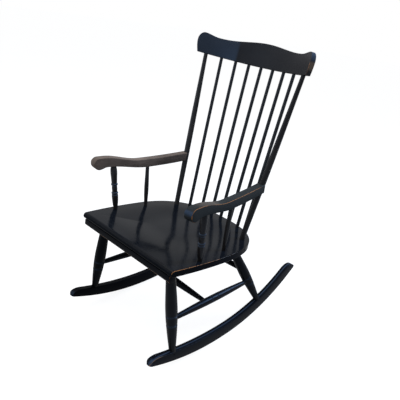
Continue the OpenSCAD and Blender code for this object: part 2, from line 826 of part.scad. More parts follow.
// Outline of a runner: the sole from nose to heel, then the top edge back, which falls to the
// sole along the nose and nearly to it along the heel
nose_y = runner_nose - runner_front;
heel_y = runner_rear - runner_heel;
function end_round(y) = y < nose_y ? sqrt(max(0, 1 - pow((nose_y - y) / runner_nose, 2)))
    : y > heel_y ? 1 - (1 - heel_share) * pow((y - heel_y) / runner_heel, 2) : 1;
function spaced(a, b) = [for (i = [0:outline_steps]) a + (b - a) * i / outline_steps];
sole_steps = concat(spaced(-runner_front, -runner_flat / 2), spaced(runner_flat / 2, runner_rear));
top_steps = concat([for (i = [8:-1:1]) heel_y + runner_heel * i / 8], spaced(heel_y, 0),
    [for (i = [1:outline_steps]) nose_y * i / outline_steps],
    [for (i = [1:7]) nose_y - runner_nose * sin(90 * i / 8)]);
runner_outline = concat([for (y = sole_steps) [y, sole_z(y)]],
    [for (y = top_steps) [y, sole_z(y) + (top_z(y) - sole_z(y)) * end_round(y)]]);

// A runner seen from above, with the two corners of its nose rounded
module runner_plan() {
    union() {
        translate([-runner_width / 2, runner_corner - runner_front])
            square([runner_width, runner_front + runner_rear]);
        translate([runner_corner - runner_width / 2, -runner_front])
            square([runner_width - 2 * runner_corner, runner_front]);
        for (side = [-1, 1])
            translate([side * (runner_width / 2 - runner_corner), runner_corner - runner_front])
                circle(r = runner_corner);
    }
}

module runner(side) {
    color(paint)
        difference() {
            translate([side * runner_track / 2, 0, 0])
                intersection() {
                    sideways(runner_width)
                        polygon(runner_outline);
                    linear_extrude(seat_height)
                        runner_plan();
                }
            for (front = [true, false]) {
                rod(leg_end(front, side, 1), leg_end(front, side, 0),
                    foot_tenon_diameter / 2 + fit_gap, -foot_tenon, foot_tenon_diameter);
                foot_peg(front, side, fit_gap);
            }
        }
}

module left_runner() {
    runner(1);
}

module right_runner() {
    runner(-1);
}

// A peg crosses the runner and the tenon of a leg
module foot_peg(front, side, gap) {
    place = foot_peg_place(front, side);
    translate([side * runner_track / 2, place[1], place[2]])
        rotate([0, 90, 0])
            cylinder(d = foot_peg_diameter + 2 * gap, h = runner_width, center = true);
}

module arm_pegs() {
    color(paint)
        for (side = [-1, 1])
            arm_peg(side, arm_peg_start, 0);
}

module foot_pegs() {
    color(paint)
        for (side = [-1, 1], front = [true, false])
            foot_peg(front, side, 0);
}

seat();
front_strip();
crest_rail();
left_post();
right_post();
spindle(1);  // spindle_1
spindle(2);  // spindle_2
spindle(3);  // spindle_3
spindle(4);  // spindle_4
spindle(5);  // spindle_5
spindle(6);  // spindle_6
spindle(7);  // spindle_7
left_arm();
right_arm();
left_arm_post();
right_arm_post();
left_arm_spindle();
right_arm_spindle();
front_left_leg();
front_right_leg();
rear_left_leg();
rear_right_leg();
left_side_stretcher();
right_side_stretcher();
centre_stretcher();
rear_stretcher();
left_runner();
right_runner();
arm_pegs();
foot_pegs();
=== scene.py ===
from functools import partial
import math

import bmesh
import bpy
from mathutils import Matrix, Vector


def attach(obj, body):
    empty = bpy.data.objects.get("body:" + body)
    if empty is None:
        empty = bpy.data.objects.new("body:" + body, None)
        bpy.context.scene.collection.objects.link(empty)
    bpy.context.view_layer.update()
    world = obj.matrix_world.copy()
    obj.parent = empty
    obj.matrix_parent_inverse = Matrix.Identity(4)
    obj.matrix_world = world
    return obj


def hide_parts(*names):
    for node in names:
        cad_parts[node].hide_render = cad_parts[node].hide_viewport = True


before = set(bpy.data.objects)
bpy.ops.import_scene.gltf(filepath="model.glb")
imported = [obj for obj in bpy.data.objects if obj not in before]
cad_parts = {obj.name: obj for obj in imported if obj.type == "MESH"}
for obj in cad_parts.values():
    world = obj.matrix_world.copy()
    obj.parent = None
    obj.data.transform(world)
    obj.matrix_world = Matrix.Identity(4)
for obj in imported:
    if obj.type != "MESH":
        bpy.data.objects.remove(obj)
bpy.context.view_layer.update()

# The camera stands where the photograph was taken from and is tipped a little to one side
CAMERA_PLACE = Vector((1.07583, -1.06722, 1.15141))
CAMERA_RIGHT = Vector((0.7551, 0.6402, 0.1417))
CAMERA_UP = Vector((-0.3475, 0.2075, 0.9145))
CAMERA_BACK = Vector((0.5560, -0.7398, 0.3791))
CAMERA_LENS = 38.0
CAMERA_SHIFT = (-0.1203, -0.0035)


def set_camera():
    data = bpy.data.cameras.new("photo_camera")
    data.lens = CAMERA_LENS
    data.sensor_width = 36.0
    data.shift_x, data.shift_y = CAMERA_SHIFT
    camera = bpy.data.objects.new("photo_camera", data)
    bpy.context.scene.collection.objects.link(camera)
    turned = Matrix((CAMERA_RIGHT, CAMERA_UP, CAMERA_BACK)).transposed()
    camera.matrix_world = Matrix.Translation(CAMERA_PLACE) @ turned.to_4x4()
    bpy.context.scene.camera = camera
    bpy.context.scene.view_settings.view_transform = "Standard"


set_camera()

# Sizes of the chair in metres, the same as in its drawing; spreads are from middle to middle
SEAT_WIDTH = 0.506
SEAT_SPREAD = 0.536
SEAT_DEPTH = 0.509
SEAT_WAIST = 0.223
SEAT_THICK = 0.024
SEAT_HEIGHT = 0.417
SEAT_FORWARD = 0.302
SEAT_SLOPE = math.radians(5.5)
RIM_POWER = 2.62

STRIP_LONG = 0.488
STRIP_HIGH = 0.026
STRIP_DEEP = 0.026
STRIP_BACK = 0.004
STRIP_ROUND = 0.011

BACK_LEAN = math.radians(11.6)
BACK_HIGH = 0.641
SPINDLES = 7
SPINDLE_FOOT = 0.0126
SPINDLE_TOP = 0.0112
SPINDLE_FOOT_SPREAD = 0.318
SPINDLE_INSET = 0.016
POST_SPREAD = 0.491
POST_FOOT_SPREAD = 0.387
POST_INSET = 0.0275
POST_THICK = 0.0224

CREST_BEND = 0.458
CREST_LONG = 0.592
CREST_FLARE = 0.009
CREST_THICK = 0.0176
CREST_MIDDLE = 0.092
CREST_DIP = 0.073
CREST_EAR = 0.081
CREST_EAR_ROUND = 0.028
CREST_LEAN = math.radians(11.6)
# Shares of the rail's half length, and the last one of an ear's height
EAR_SHARE = 0.935
DIP_SHARE = 0.735
EAR_WIDEST = 0.58

ARM_WIDE = 0.032
ARM_HIGH = 0.623
ARM_FALL = 0.0235
ARM_FRONT_DEEP = 0.037
ARM_REAR_DEEP = 0.033
ARM_OVERHANG = 0.083
ARM_REAR_RISE = 0.0075
ARM_NOSE = 0.0225
ARM_CORNER = 0.003
ARM_SPREAD = 0.498
ARM_POST_FOOT_SPREAD = 0.485
ARM_POST_BACK = 0.132
ARM_POST_AHEAD = 0.009
ARM_POST_THICK = 0.025
ARM_SPINDLE_FOOT_SPREAD = 0.454
ARM_SPINDLE_BACK = 0.267
ARM_SPINDLE_ALONG = 0.148
ARM_SPINDLE_THICK = 0.017
# Shares of an arm's reach from its front post to its back post
ARM_TOP_PEAK = -0.12
ARM_TOP_VALLEY = 0.32
ARM_UNDER_PEAK = -0.095
ARM_UNDER_VALLEY = 0.415

LEG_THICK = 0.042
FRONT_LEG_SPREAD = 0.372
FRONT_LEG_BACK = 0.057
REAR_LEG_SPREAD = 0.344
REAR_LEG_BACK = 0.372
FRONT_FOOT = 0.259
REAR_FOOT = 0.207

STRETCHER_THICK = 0.0286
STRETCHER_END = 0.0185
CENTRE_END = 0.0165

RUNNER_TRACK = 0.486
RUNNER_FRONT = 0.364
RUNNER_REAR = 0.450
RUNNER_WIDE = 0.025
RUNNER_HIGH = 0.047
SOLE_FRONT = 0.900
TOP_FRONT = 1.200
SOLE_REAR = 0.736
TOP_REAR = 0.681
RUNNER_FLAT = 0.012
RUNNER_NOSE = 0.042
RUNNER_CORNER = 0.010
RUNNER_HEEL = 0.078
HEEL_SHARE = 0.16

# Turned shapes: shares of the length, each with the share of the thickness there
LEG_SHAPE = [(0, 0.68), (0.1, 0.76), (0.2, 0.835), (0.3, 0.9), (0.4, 0.965), (0.5, 1), (0.6, 0.98),
             (0.7, 0.91), (0.8, 0.81), (0.9, 0.685), (0.96, 0.61), (1, 0.575)]
POST_SHAPE = [(0, 0.865), (0.1, 0.9), (0.2, 0.935), (0.3, 0.975), (0.4, 1), (0.5, 0.995),
              (0.6, 0.965), (0.7, 0.9), (0.8, 0.82), (0.9, 0.745), (1.0, 0.69)]
ARM_SPINDLE_SHAPE = [(0, 0.76), (0.15, 0.84), (0.3, 0.96), (0.45, 1), (0.6, 0.96), (0.8, 0.86),
                     (1, 0.8)]
ARM_POST_SHAPE = [
    (0, 0.64), (0.05, 0.70), (0.15, 0.86), (0.25, 0.96), (0.31, 0.98), (0.338, 0.95), (0.347, 0.86),
    (0.352, 0.83), (0.357, 0.86), (0.364, 0.96), (0.380, 1.03), (0.396, 0.96), (0.403, 0.86),
    (0.410, 0.80), (0.44, 0.81), (0.48, 0.84), (0.52, 0.81), (0.548, 0.80), (0.555, 0.86),
    (0.562, 0.96), (0.578, 1.03), (0.594, 0.96), (0.601, 0.86), (0.606, 0.82), (0.614, 0.85),
    (0.65, 0.88), (0.75, 0.95), (0.84, 1.02), (0.91, 0.99), (0.96, 0.86), (1, 0.64)]
# Shares of the length at which a piece has a scored ring or a painted highlight line
LEG_RINGS = (0.578, 0.686)
ARM_POST_HIGHLIGHTS = (0.345, 0.396, 0.548, 0.594)
STRETCHER_RINGS = (0.46, 0.54)
# Shares of the length at which the legs, and the side stretchers, hold a stretcher
FRONT_STRETCHER_AT = 0.624
BACK_STRETCHER_AT = 0.655
REAR_STRETCHER_AT = 0.45
CENTRE_STRETCHER_AT = 0.40
BODY = "root"


def seat_point(x, v, w):
    """A point of the seat: x across, v back along its slope, w square to its top."""
    c, s = math.cos(SEAT_SLOPE), math.sin(SEAT_SLOPE)
    return Vector((x, v * c + w * s - SEAT_FORWARD, SEAT_HEIGHT - v * s + w * c))


def rim_back(x, inset):
    half = SEAT_SPREAD / 2 - inset
    reach = max(0.0, 1 - (abs(x) / half) ** RIM_POWER) ** (1 / RIM_POWER)
    return SEAT_WAIST + (SEAT_DEPTH - SEAT_WAIST - inset) * reach


BACK_FOOT = seat_point(0, rim_back(0, SPINDLE_INSET), 0)
BACK_TOP = BACK_FOOT + BACK_HIGH * Vector((0, math.sin(BACK_LEAN), math.cos(BACK_LEAN)))


def crest_point(x, behind, above):
    """A point of the crest rail: x across, behind its middle surface, above its lower edge."""
    c, s = math.cos(CREST_LEAN), math.sin(CREST_LEAN)
    bend = math.sqrt(CREST_BEND ** 2 - x * x) - CREST_BEND + behind
    return BACK_TOP + Vector((x, bend * c + above * s, above * c - bend * s))


def fall(s, a, b):
    """Goes from 1 at a down to 0 at b in half a wave."""
    return (1 + math.cos(math.pi * min(1.0, max(0.0, (s - a) / (b - a))))) / 2


def sole_z(y):
    radius = SOLE_FRONT if y < 0 else SOLE_REAR
    run = max(0.0, abs(y) - RUNNER_FLAT / 2)
    return radius - math.sqrt(radius ** 2 - run ** 2)


def top_z(y):
    radius = TOP_FRONT if y < 0 else TOP_REAR
    return RUNNER_HIGH + radius - math.sqrt(radius ** 2 - y * y)


def post_foot(side):
    x = POST_FOOT_SPREAD / 2
    return seat_point(side * x, rim_back(x, POST_INSET), 0)


def post_top(side):
    return crest_point(side * POST_SPREAD / 2, 0, 0)


def spindle_ends(i):
    place = i - (SPINDLES + 1) / 2
    x = place * SPINDLE_FOOT_SPREAD / (SPINDLES - 1)
    return (seat_point(x, rim_back(x, SPINDLE_INSET), 0),
            crest_point(place * POST_SPREAD / (SPINDLES + 1), 0, 0))


def arm_post_foot(side):
    return seat_point(side * ARM_POST_FOOT_SPREAD / 2, ARM_POST_BACK, 0)


ARM_FRONT_Y = arm_post_foot(1).y - ARM_POST_AHEAD
ARM_REAR_HIGH = ARM_HIGH - ARM_FALL
ARM_END_Z = ARM_REAR_HIGH + ARM_REAR_RISE - ARM_REAR_DEEP / 2
ARM_POST_SHARE = (ARM_END_Z - post_foot(1).z) / (post_top(1).z - post_foot(1).z)
ARM_REAR_MIDDLE = post_foot(1).lerp(post_top(1), ARM_POST_SHARE)
ARM_TURN = math.atan2(ARM_SPREAD / 2 - ARM_REAR_MIDDLE.x, ARM_REAR_MIDDLE.y - ARM_FRONT_Y)
ARM_REACH = (ARM_REAR_MIDDLE.y - ARM_FRONT_Y) / math.cos(ARM_TURN)


def arm_rise(s, valley):
    return ARM_REAR_RISE * max(0.0, (s - valley) / (ARM_REACH - valley)) ** 2


def arm_top(s):
    valley = ARM_TOP_VALLEY * ARM_REACH
    return ARM_REAR_HIGH + ARM_FALL * fall(s, ARM_TOP_PEAK * ARM_REACH, valley) + arm_rise(s, valley)


ARM_NOSE_S = ARM_NOSE - ARM_OVERHANG
ARM_NOSE_Z = arm_top(ARM_NOSE_S) - ARM_NOSE
ARM_LIP = ARM_HIGH - ARM_FRONT_DEEP - ARM_NOSE_Z + ARM_NOSE


def arm_under(s):
    peak, valley = ARM_UNDER_PEAK * ARM_REACH, ARM_UNDER_VALLEY * ARM_REACH
    return (ARM_REAR_HIGH - ARM_REAR_DEEP
            + (ARM_FALL + ARM_REAR_DEEP - ARM_FRONT_DEEP) * fall(s, peak, valley)
            + arm_rise(s, valley) - ARM_LIP * fall(s, ARM_NOSE_S, peak))


def arm_point(side, s, z):
    x = ARM_SPREAD / 2 - s * math.sin(ARM_TURN)
    return Vector((side * x, ARM_FRONT_Y + s * math.cos(ARM_TURN), z))


def leg_ends(front, side):
    head = seat_point(side * (FRONT_LEG_SPREAD if front else REAR_LEG_SPREAD) / 2,
                      FRONT_LEG_BACK if front else REAR_LEG_BACK, -SEAT_THICK)
    y = -FRONT_FOOT if front else REAR_FOOT
    return head, Vector((side * RUNNER_TRACK / 2, y, top_z(y)))


def leg_place(front, side, share):
    head, foot = leg_ends(front, side)
    return head.lerp(foot, share)


# Working the wood
# A hair's breadth, for picking what lies in a plane, and the angle in radians of a sharp edge
HAIR = 1e-5
SHARP = 0.6
# Degrees up to which the faces of a board, a bent board and a turned piece run smoothly together
BOARD_SMOOTH = 40
BENT_SMOOTH = 35
TURNED_SMOOTH = 30
TOP_ROUND_STEPS = 5
BOTTOM_ROUND_STEPS = 4


def empty_hands():
    """Leaves edit mode with nothing selected, so that a tool works on its own piece only."""
    if bpy.context.object and bpy.context.object.mode != "OBJECT":
        bpy.ops.object.mode_set(mode="OBJECT")
    bpy.ops.object.select_all(action="DESELECT")


def take_up(name):
    """Names the primitive just added and opens it for editing, all of it picked."""
    piece = bpy.context.object
    piece.name = piece.data.name = name
    bpy.ops.object.transform_apply(location=True, rotation=True, scale=True)
    bpy.ops.object.mode_set(mode="EDIT")
    bpy.ops.mesh.select_mode(type="VERT")
    bpy.ops.mesh.select_all(action="SELECT")
    return piece


def pick(piece, kind, test):
    """Picks the vertices, edges or faces of an open piece that pass a test."""
    bpy.ops.mesh.select_mode(type=kind)
    bpy.ops.mesh.select_all(action="DESELECT")
    mesh = bmesh.from_edit_mesh(piece.data)
    mesh.normal_update()
    for part in {"VERT": mesh.verts, "EDGE": mesh.edges, "FACE": mesh.faces}[kind]:
        if test(part):
            part.select_set(True)
    mesh.select_flush_mode()
    bmesh.update_edit_mesh(piece.data)


def draw_out(step, grow=(1, 1, 1), about=(0, 0, 0)):
    """Extrudes the picked end by a step and then sizes it about a point."""
    bpy.ops.mesh.extrude_region_move(TRANSFORM_OT_translate={"value": step})
    if tuple(grow) != (1, 1, 1):
        bpy.ops.transform.resize(value=grow, center_override=about)


def put_down(piece, angle):
    """Closes a piece with its faces outwards and its curves smooth up to an angle."""
    bpy.ops.mesh.select_all(action="SELECT")
    bpy.ops.mesh.normals_make_consistent(inside=False)
    bpy.ops.mesh.select_all(action="DESELECT")
    bpy.ops.object.mode_set(mode="OBJECT")
    bpy.ops.object.shade_smooth_by_angle(angle=math.radians(angle))
    return piece


def set_in_place(piece, matrix):
    """Moves a closed piece to its place and leaves the place in its mesh."""
    piece.matrix_world = matrix
    bpy.ops.object.select_all(action="DESELECT")
    piece.select_set(True)
    bpy.context.view_layer.objects.active = piece
    bpy.ops.object.transform_apply(location=True, rotation=True, scale=True)
    return piece


def smooth_curve(table, steps):
    """Points on a smooth curve through a table, which never overshoots it."""
    xs, ys = [p[0] for p in table], [p[1] for p in table]
    slopes = [(ys[i + 1] - ys[i]) / (xs[i + 1] - xs[i]) for i in range(len(xs) - 1)]
    tangents = [slopes[0]]
    for a, b in zip(slopes, slopes[1:]):
        tangents.append(0.0 if a * b <= 0 else 2 * a * b / (a + b))
    tangents.append(slopes[-1])
    points = []
    for i in range(len(xs) - 1):
        wide = xs[i + 1] - xs[i]
        count = max(1, round(steps * wide / (xs[-1] - xs[0])))
        for k in range(count):
            t = k / count
            points.append((xs[i] + t * wide,
                           (1 + 2 * t) * (1 - t) ** 2 * ys[i] + t * (1 - t) ** 2 * wide * tangents[i]
                           + t * t * (3 - 2 * t) * ys[i + 1] - t * t * (1 - t) * wide * tangents[i + 1]))
    points.append((xs[-1], ys[-1]))
    return points


def bar_end(name, wide, high, top_round, bottom_round, centre, axis):
    """A rounded rectangle, the end of a bar that is drawn out next; its width runs across."""
    empty_hands()
    turn = (math.pi / 2, 0, 0) if axis == "Y" else (math.pi / 2, 0, math.pi / 2)
    bpy.ops.mesh.primitive_plane_add(size=1, rotation=turn, location=centre)
    bpy.context.object.scale = (wide, high, 1)
    piece = take_up(name)
    middle = centre[2]
    pick(piece, "VERT", lambda v: v.co.z > middle)
    bpy.ops.mesh.bevel(offset=top_round, offset_type="OFFSET", segments=TOP_ROUND_STEPS, profile=0.5,
                       affect="VERTICES")
    pick(piece, "VERT", lambda v: v.co.z < middle - high / 2 + HAIR)
    bpy.ops.mesh.bevel(offset=bottom_round, offset_type="OFFSET", segments=BOTTOM_ROUND_STEPS,
                       profile=0.5, affect="VERTICES")
    bpy.ops.mesh.select_all(action="SELECT")
    return piece


def mark(piece, what, rule):
    """Stores a value from 0 to 1 at each point of a piece, by its place and the way it faces."""
    attribute = piece.data.attributes.new(what, "FLOAT", "POINT")
    for i, vertex in enumerate(piece.data.vertices):
        attribute.data[i].value = max(0.0, min(1.0, rule(vertex.co, vertex.normal)))
    return piece


def nowhere(co, n):
    return 0.0


def rub_edges(piece, wear, painted_highlight=None, dull=None, scuff=None):
    """Marks where a piece's paint is worn, carries a painted blue highlight, has lost its gloss or is
    scuffed.
    """
    mark(piece, "wear", wear)
    # Where a highlight or a reflection of the sky is painted into the colour
    mark(piece, "painted_highlight", painted_highlight or nowhere)
    mark(piece, "dull", dull or nowhere)
    mark(piece, "scuff", scuff or nowhere)
    return piece


# The rules that follow say how strong a mark is at a point, from the point's place, co, and the way
# it faces, n. A pair of numbers after a part of n gives where the mark starts and where it is full.


def hump(x, a, b, soft):
    """1 between a and b, falling to 0 over a soft stretch outside them."""
    return max(0.0, min(1.0, 1 + min(x - a, b - x) / soft))


def band(x, low, high):
    """Goes from 0 at low to 1 at high; low may be the larger of the two."""
    return max(0.0, min(1.0, (x - low) / (high - low)))


def mix(a, b, share):
    return a + (b - a) * share


def edge_between(one, other, start, full):
    """1 on the eased edge between two faces, from how far a point faces each of them."""
    return band(min(abs(one), abs(other)), start, full)


def side_name(side):
    return "left" if side > 0 else "right"


# The seat
NOSING = SEAT_THICK / 2
SEAT_EASE = 0.0024
SEAT_PLAN_CORNER = 0.0035
# The hollow: its middle behind the seat's front edge, its depth, and the shares of the rim's size at
# which it starts and reaches its floor
HOLLOW_BACK = 0.262
HOLLOW_DEEP = 0.0062
HOLLOW_EDGE = 0.86
HOLLOW_FLOOR = 0.30
HOLLOW_RINGS = 26
LEVEL_RINGS = [1.0, 0.985, 0.96, 0.93, 0.9]
# Where the rim has its points: degrees round a front corner and up the nosing, and steps elsewhere
CORNER_TURNS = (0, 22.5, 45, 67.5, 90)
NOSING_TURNS = (-90, -75, -60, -45, -30, -15, 0, 15, 30, 45, 55, 65, 75, 82, 90)
SEAT_SIDE_STEPS = 13
SEAT_BACK_STEPS = 26
SEAT_FRONT_STEPS = 22
SEAT_FRONT_SHARE = 0.985
# Distances behind the front edge between which the rim's wear fades, and its lower edge's grows
RIM_WEAR_FADE = (0.10, 0.32)
UNDER_WEAR_RISE = (0.25, 0.35)
# How far behind the front edge the painted highlight line reaches
FRONT_LINE_DEEP = 0.004


def seat_side_x(v):
    """Half the seat's width at a distance behind its front edge, as far as its waist."""
    return SEAT_SPREAD / 2 - (SEAT_SPREAD - SEAT_WIDTH) / 2 * ((SEAT_WAIST - v) / SEAT_WAIST) ** 2


def seat_outline():
    """The seat's rim from the left front corner round the back to the right one, then its front."""
    corner = SEAT_PLAN_CORNER
    left = [(seat_side_x(corner) - corner * (1 - math.sin(t)), corner * (1 - math.cos(t)))
            for t in (math.radians(turn) for turn in CORNER_TURNS)]
    for i in range(1, SEAT_SIDE_STEPS):
        v = corner + (SEAT_WAIST - corner) * i / SEAT_SIDE_STEPS
        left.append((seat_side_x(v), v))
    for i in range(SEAT_BACK_STEPS + 1):
        t = math.radians(90 * i / SEAT_BACK_STEPS)
        left.append((SEAT_SPREAD / 2 * max(0.0, math.cos(t)) ** (2 / RIM_POWER),
                     SEAT_WAIST + (SEAT_DEPTH - SEAT_WAIST) * math.sin(t) ** (2 / RIM_POWER)))
    right = [(-x, v) for x, v in reversed(left[:-1])]
    front = [(SEAT_WIDTH / 2 * (2 * i / SEAT_FRONT_STEPS - 1) * SEAT_FRONT_SHARE, 0.0)
             for i in range(1, SEAT_FRONT_STEPS)]
    return left + right + front


def open_seat(outline):
    """A disc whose points are carried to the outline of the seat's underside."""
    empty_hands()
    bpy.ops.mesh.primitive_circle_add(vertices=len(outline), radius=SEAT_SPREAD / 2, fill_type="NGON")
    piece = take_up("seat_plank")
    for i, (x, v) in enumerate(outline):
        mesh = bmesh.from_edit_mesh(piece.data)
        mesh.verts.ensure_lookup_table()
        target = mesh.verts[i]
        here = target.co.copy()
        pick(piece, "VERT", lambda vertex: vertex is target)
        bpy.ops.transform.translate(value=(x - here.x, v - here.y, -SEAT_THICK - here.z))
    bpy.ops.mesh.select_all(action="SELECT")
    return piece


def seat_eased(depth):
    """How far the side draws in at a depth under the seat's top or above its underside."""
    if depth >= SEAT_EASE:
        return 0.0
    return SEAT_EASE - math.sqrt(SEAT_EASE ** 2 - (SEAT_EASE - depth) ** 2)


def draw_seat_side():
    """Draws the underside up to the top, round at the front and eased at both edges."""
    w0, ease0, ahead0 = -SEAT_THICK, 0.0, 0.0
    for turn in NOSING_TURNS:
        w = -NOSING + NOSING * math.sin(math.radians(turn))
        ease = max(seat_eased(-w), seat_eased(w + SEAT_THICK))
        ahead = NOSING - math.sqrt(max(0.0, NOSING ** 2 - (w + NOSING) ** 2))
        grow = ((SEAT_SPREAD / 2 - ease) / (SEAT_SPREAD / 2 - ease0),
                (SEAT_DEPTH - ease - ahead) / (SEAT_DEPTH - ease0 - ahead0), 1)
        if turn == NOSING_TURNS[0]:
            bpy.ops.transform.resize(value=grow, center_override=(0, ahead0, w))
        else:
            draw_out((0, 0, w - w0), grow, (0, ahead0, w))
        bpy.ops.transform.translate(value=(0, ahead - ahead0, 0))
        w0, ease0, ahead0 = w, ease, ahead


def draw_hollow():
    """Draws the top in, ring by ring towards the hollow's middle, and lets it down."""
    shares = LEVEL_RINGS + [HOLLOW_EDGE * i / HOLLOW_RINGS for i in range(HOLLOW_RINGS, 1, -1)]
    depth0 = 0.0
    for share0, share in zip(shares, shares[1:]):
        depth = HOLLOW_DEEP * fall(share, HOLLOW_FLOOR, HOLLOW_EDGE)
        grow = share / share0
        draw_out((0, 0, depth0 - depth), (grow, grow, 1), (0, HOLLOW_BACK, -depth))
        depth0 = depth
    bpy.ops.mesh.merge(type="CENTER")


def seat_wear(co, n):
    """The rim is rubbed, most of all near the left front corner."""
    if co.y < NOSING * 1.2:
        corner = edge_between(n.x, math.hypot(n.y, n.z), 0.35, 0.65)
        return corner * (mix(0.5, 0.95, band(n.z, 0.0, 0.3)) if co.x > 0 else 0.5)
    strength = mix(1.0, 0.55, band(co.y, *RIM_WEAR_FADE)) if co.x > 0 else 0.45
    if n.z < 0:
        strength *= mix(0.35, 0.85, band(co.y, *UNDER_WEAR_RISE))
    return strength * edge_between(math.hypot(n.x, n.y), n.z, 0.35, 0.65)


def seat_dull(co, n):
    """The rim is dull beside the top."""
    return band(0.75 - n.z, 0.0, 0.35)


def seat_painted_highlight(co, n):
    """A thin painted highlight line runs where the rounded front meets the strip."""
    return 0.55 * band(-n.z, 0.55, 0.9) * band(NOSING - co.y, 0.0, FRONT_LINE_DEEP)


def seat_place():
    return Matrix.Translation((0, -SEAT_FORWARD, SEAT_HEIGHT)) @ Matrix.Rotation(-SEAT_SLOPE, 4, "X")


def make_seat():
    piece = open_seat(seat_outline())
    draw_seat_side()
    draw_hollow()
    put_down(piece, BOARD_SMOOTH)
    rub_edges(piece, seat_wear, seat_painted_highlight, seat_dull)
    return set_in_place(piece, seat_place())


# The strip under the seat's front edge
STRIP_EASE = 0.0012
STRIP_ROUND_STEPS = 8
STRIP_EASE_STEPS = 3
STRIP_CUTS = 24


def strip_wear(co, n):
    """The rounded lower front edge is rubbed, and the edges of both ends."""
    end = 0.7 * edge_between(n.x, math.hypot(n.y, n.z), 0.3, 0.6)
    if co.y >= STRIP_BACK + STRIP_ROUND:
        return end
    return max(0.9 * band(-n.z, 0.4, 0.7) * band(-n.y, -0.1, 0.25), end)


def make_strip():
    empty_hands()
    middle = (0, STRIP_BACK + STRIP_DEEP / 2, -SEAT_THICK - STRIP_HIGH / 2)
    bpy.ops.mesh.primitive_cube_add(size=1, location=middle)
    bpy.context.object.scale = (STRIP_LONG, STRIP_DEEP, STRIP_HIGH)
    piece = take_up("front_strip_board")
    front, low = STRIP_BACK + HAIR, -SEAT_THICK - STRIP_HIGH + HAIR
    pick(piece, "EDGE", lambda e: all(v.co.y < front and v.co.z < low for v in e.verts))
    bpy.ops.mesh.bevel(offset=STRIP_ROUND, offset_type="OFFSET", segments=STRIP_ROUND_STEPS,
                       profile=0.5, affect="EDGES")
    pick(piece, "EDGE", lambda e: len(e.link_faces) == 2 and e.calc_face_angle(0) > SHARP)
    bpy.ops.mesh.bevel(offset=STRIP_EASE, offset_type="OFFSET", segments=STRIP_EASE_STEPS,
                       profile=0.5, affect="EDGES")
    # Cuts along the strip, so that its wear can come and go
    for i in range(1, STRIP_CUTS):
        bpy.ops.mesh.select_all(action="SELECT")
        bpy.ops.mesh.bisect(plane_co=(STRIP_LONG * (i / STRIP_CUTS - 0.5), 0, 0), plane_no=(1, 0, 0))
    put_down(piece, TURNED_SMOOTH)
    rub_edges(piece, strip_wear)
    return set_in_place(piece, seat_place())


# The crest rail
CREST_EASE = 0.0022
CREST_END = CREST_LONG / 2 + CREST_FLARE
CREST_WIDEST = CREST_EAR * EAR_WIDEST
# Distances from an end at which the ear has its rings of points, and the steps between the ears
EAR_RINGS = (0.0001, 0.0004, 0.0009, 0.0016, 0.0025, 0.0036, 0.0049, 0.0063, 0.0077, 0.009, 0.011,
             0.0135, 0.0165, 0.020, 0.024, 0.028)
CREST_STEPS = 26
# Worn spots: distances from the left end, and below what height, and distances from the right end
LEFT_SPOT_FROM_END = (0.012, 0.007)
LEFT_SPOT_BELOW = (0.046, 0.034)
RIGHT_SPOT_FROM_END = (0.022, 0.030)
RIGHT_SPOT_SOFT = 0.006
UPPER_EDGE_ABOVE = (0.05, 0.07)
# The left end is scuffed between two heights and has a painted reflection of the sky's blue above them
END_NEAR = 0.03
END_SCUFF = (0.022, 0.042)
END_SCUFF_SOFT = 0.007
END_PAINTED_REFLECTION = (0.046, 0.054)
# The far third of the front has the painted reflection too, from how far right of the middle, and most
# strongly where it is low and not far along
FAR_PAINTED_REFLECTION = (0.118, 0.129)
FAR_REFLECTION_LOW = (0.075, 0.015)
FAR_REFLECTION_ALONG = (-0.25, -0.15)


def crest_height(share):
    if share < DIP_SHARE:
        return CREST_DIP + (CREST_MIDDLE - CREST_DIP) * fall(share, 0, DIP_SHARE)
    return CREST_EAR - (CREST_EAR - CREST_DIP) * fall(share, DIP_SHARE, EAR_SHARE)


def crest_edges(along):
    """Lower and upper edge of the rail at a distance along its bend from its middle."""
    full = crest_height(abs(math.sin(along / CREST_BEND) / math.sin(CREST_END / CREST_BEND)))
    from_end, low = CREST_END - abs(along), 0.0
    if from_end < CREST_EAR_ROUND:
        reach = 1 - from_end / CREST_EAR_ROUND
        round_top = CREST_WIDEST + (CREST_EAR - CREST_WIDEST) * math.sqrt(max(0.0, 1 - reach * reach))
        full = min(full, round_top)
    if from_end < CREST_FLARE:
        low = CREST_WIDEST * math.asin(1 - from_end / CREST_FLARE) * 2 / math.pi
    return low, full


def crest_facing(co, n):
    """How far a point faces the sitter's side of the bend, and an end; and its place along the bend."""
    out = Vector((co.x, co.y, 0)).normalized()
    inward = -(n.x * out.x + n.y * out.y)
    return inward, math.sqrt(max(0.0, 1 - inward * inward)), math.atan2(co.x, co.y) * CREST_BEND


def crest_wear(co, n):
    """Rubbed at the left end's lower corner, on top of the right ear and a little along the edges."""
    inward, endward, along = crest_facing(co, n)
    front_edge = band(min(inward, endward), 0.25, 0.55)
    from_end = CREST_END - abs(along)
    if co.x > 0:
        spot = front_edge * band(from_end, *LEFT_SPOT_FROM_END) * band(co.z, *LEFT_SPOT_BELOW)
    else:
        spot = 0.9 * band(n.z, 0.5, 0.9) * hump(from_end, *RIGHT_SPOT_FROM_END, RIGHT_SPOT_SOFT)
    return max(spot, 0.12 * front_edge * band(co.z, *UPPER_EDGE_ABOVE))


def crest_painted_reflection(co, n):
    """A painted reflection of the sky's blue lies on the upper part of the left end and on the far third
    of the front.
    """
    inward, endward, along = crest_facing(co, n)
    if along > CREST_END - END_NEAR:
        return band(endward, 0.7, 0.95) * band(co.z, *END_PAINTED_REFLECTION)
    strength = mix(0.5, 0.9, band(co.z, *FAR_REFLECTION_LOW) * band(along, *FAR_REFLECTION_ALONG))
    return strength * band(inward, 0.3, 0.7) * band(-along, *FAR_PAINTED_REFLECTION)


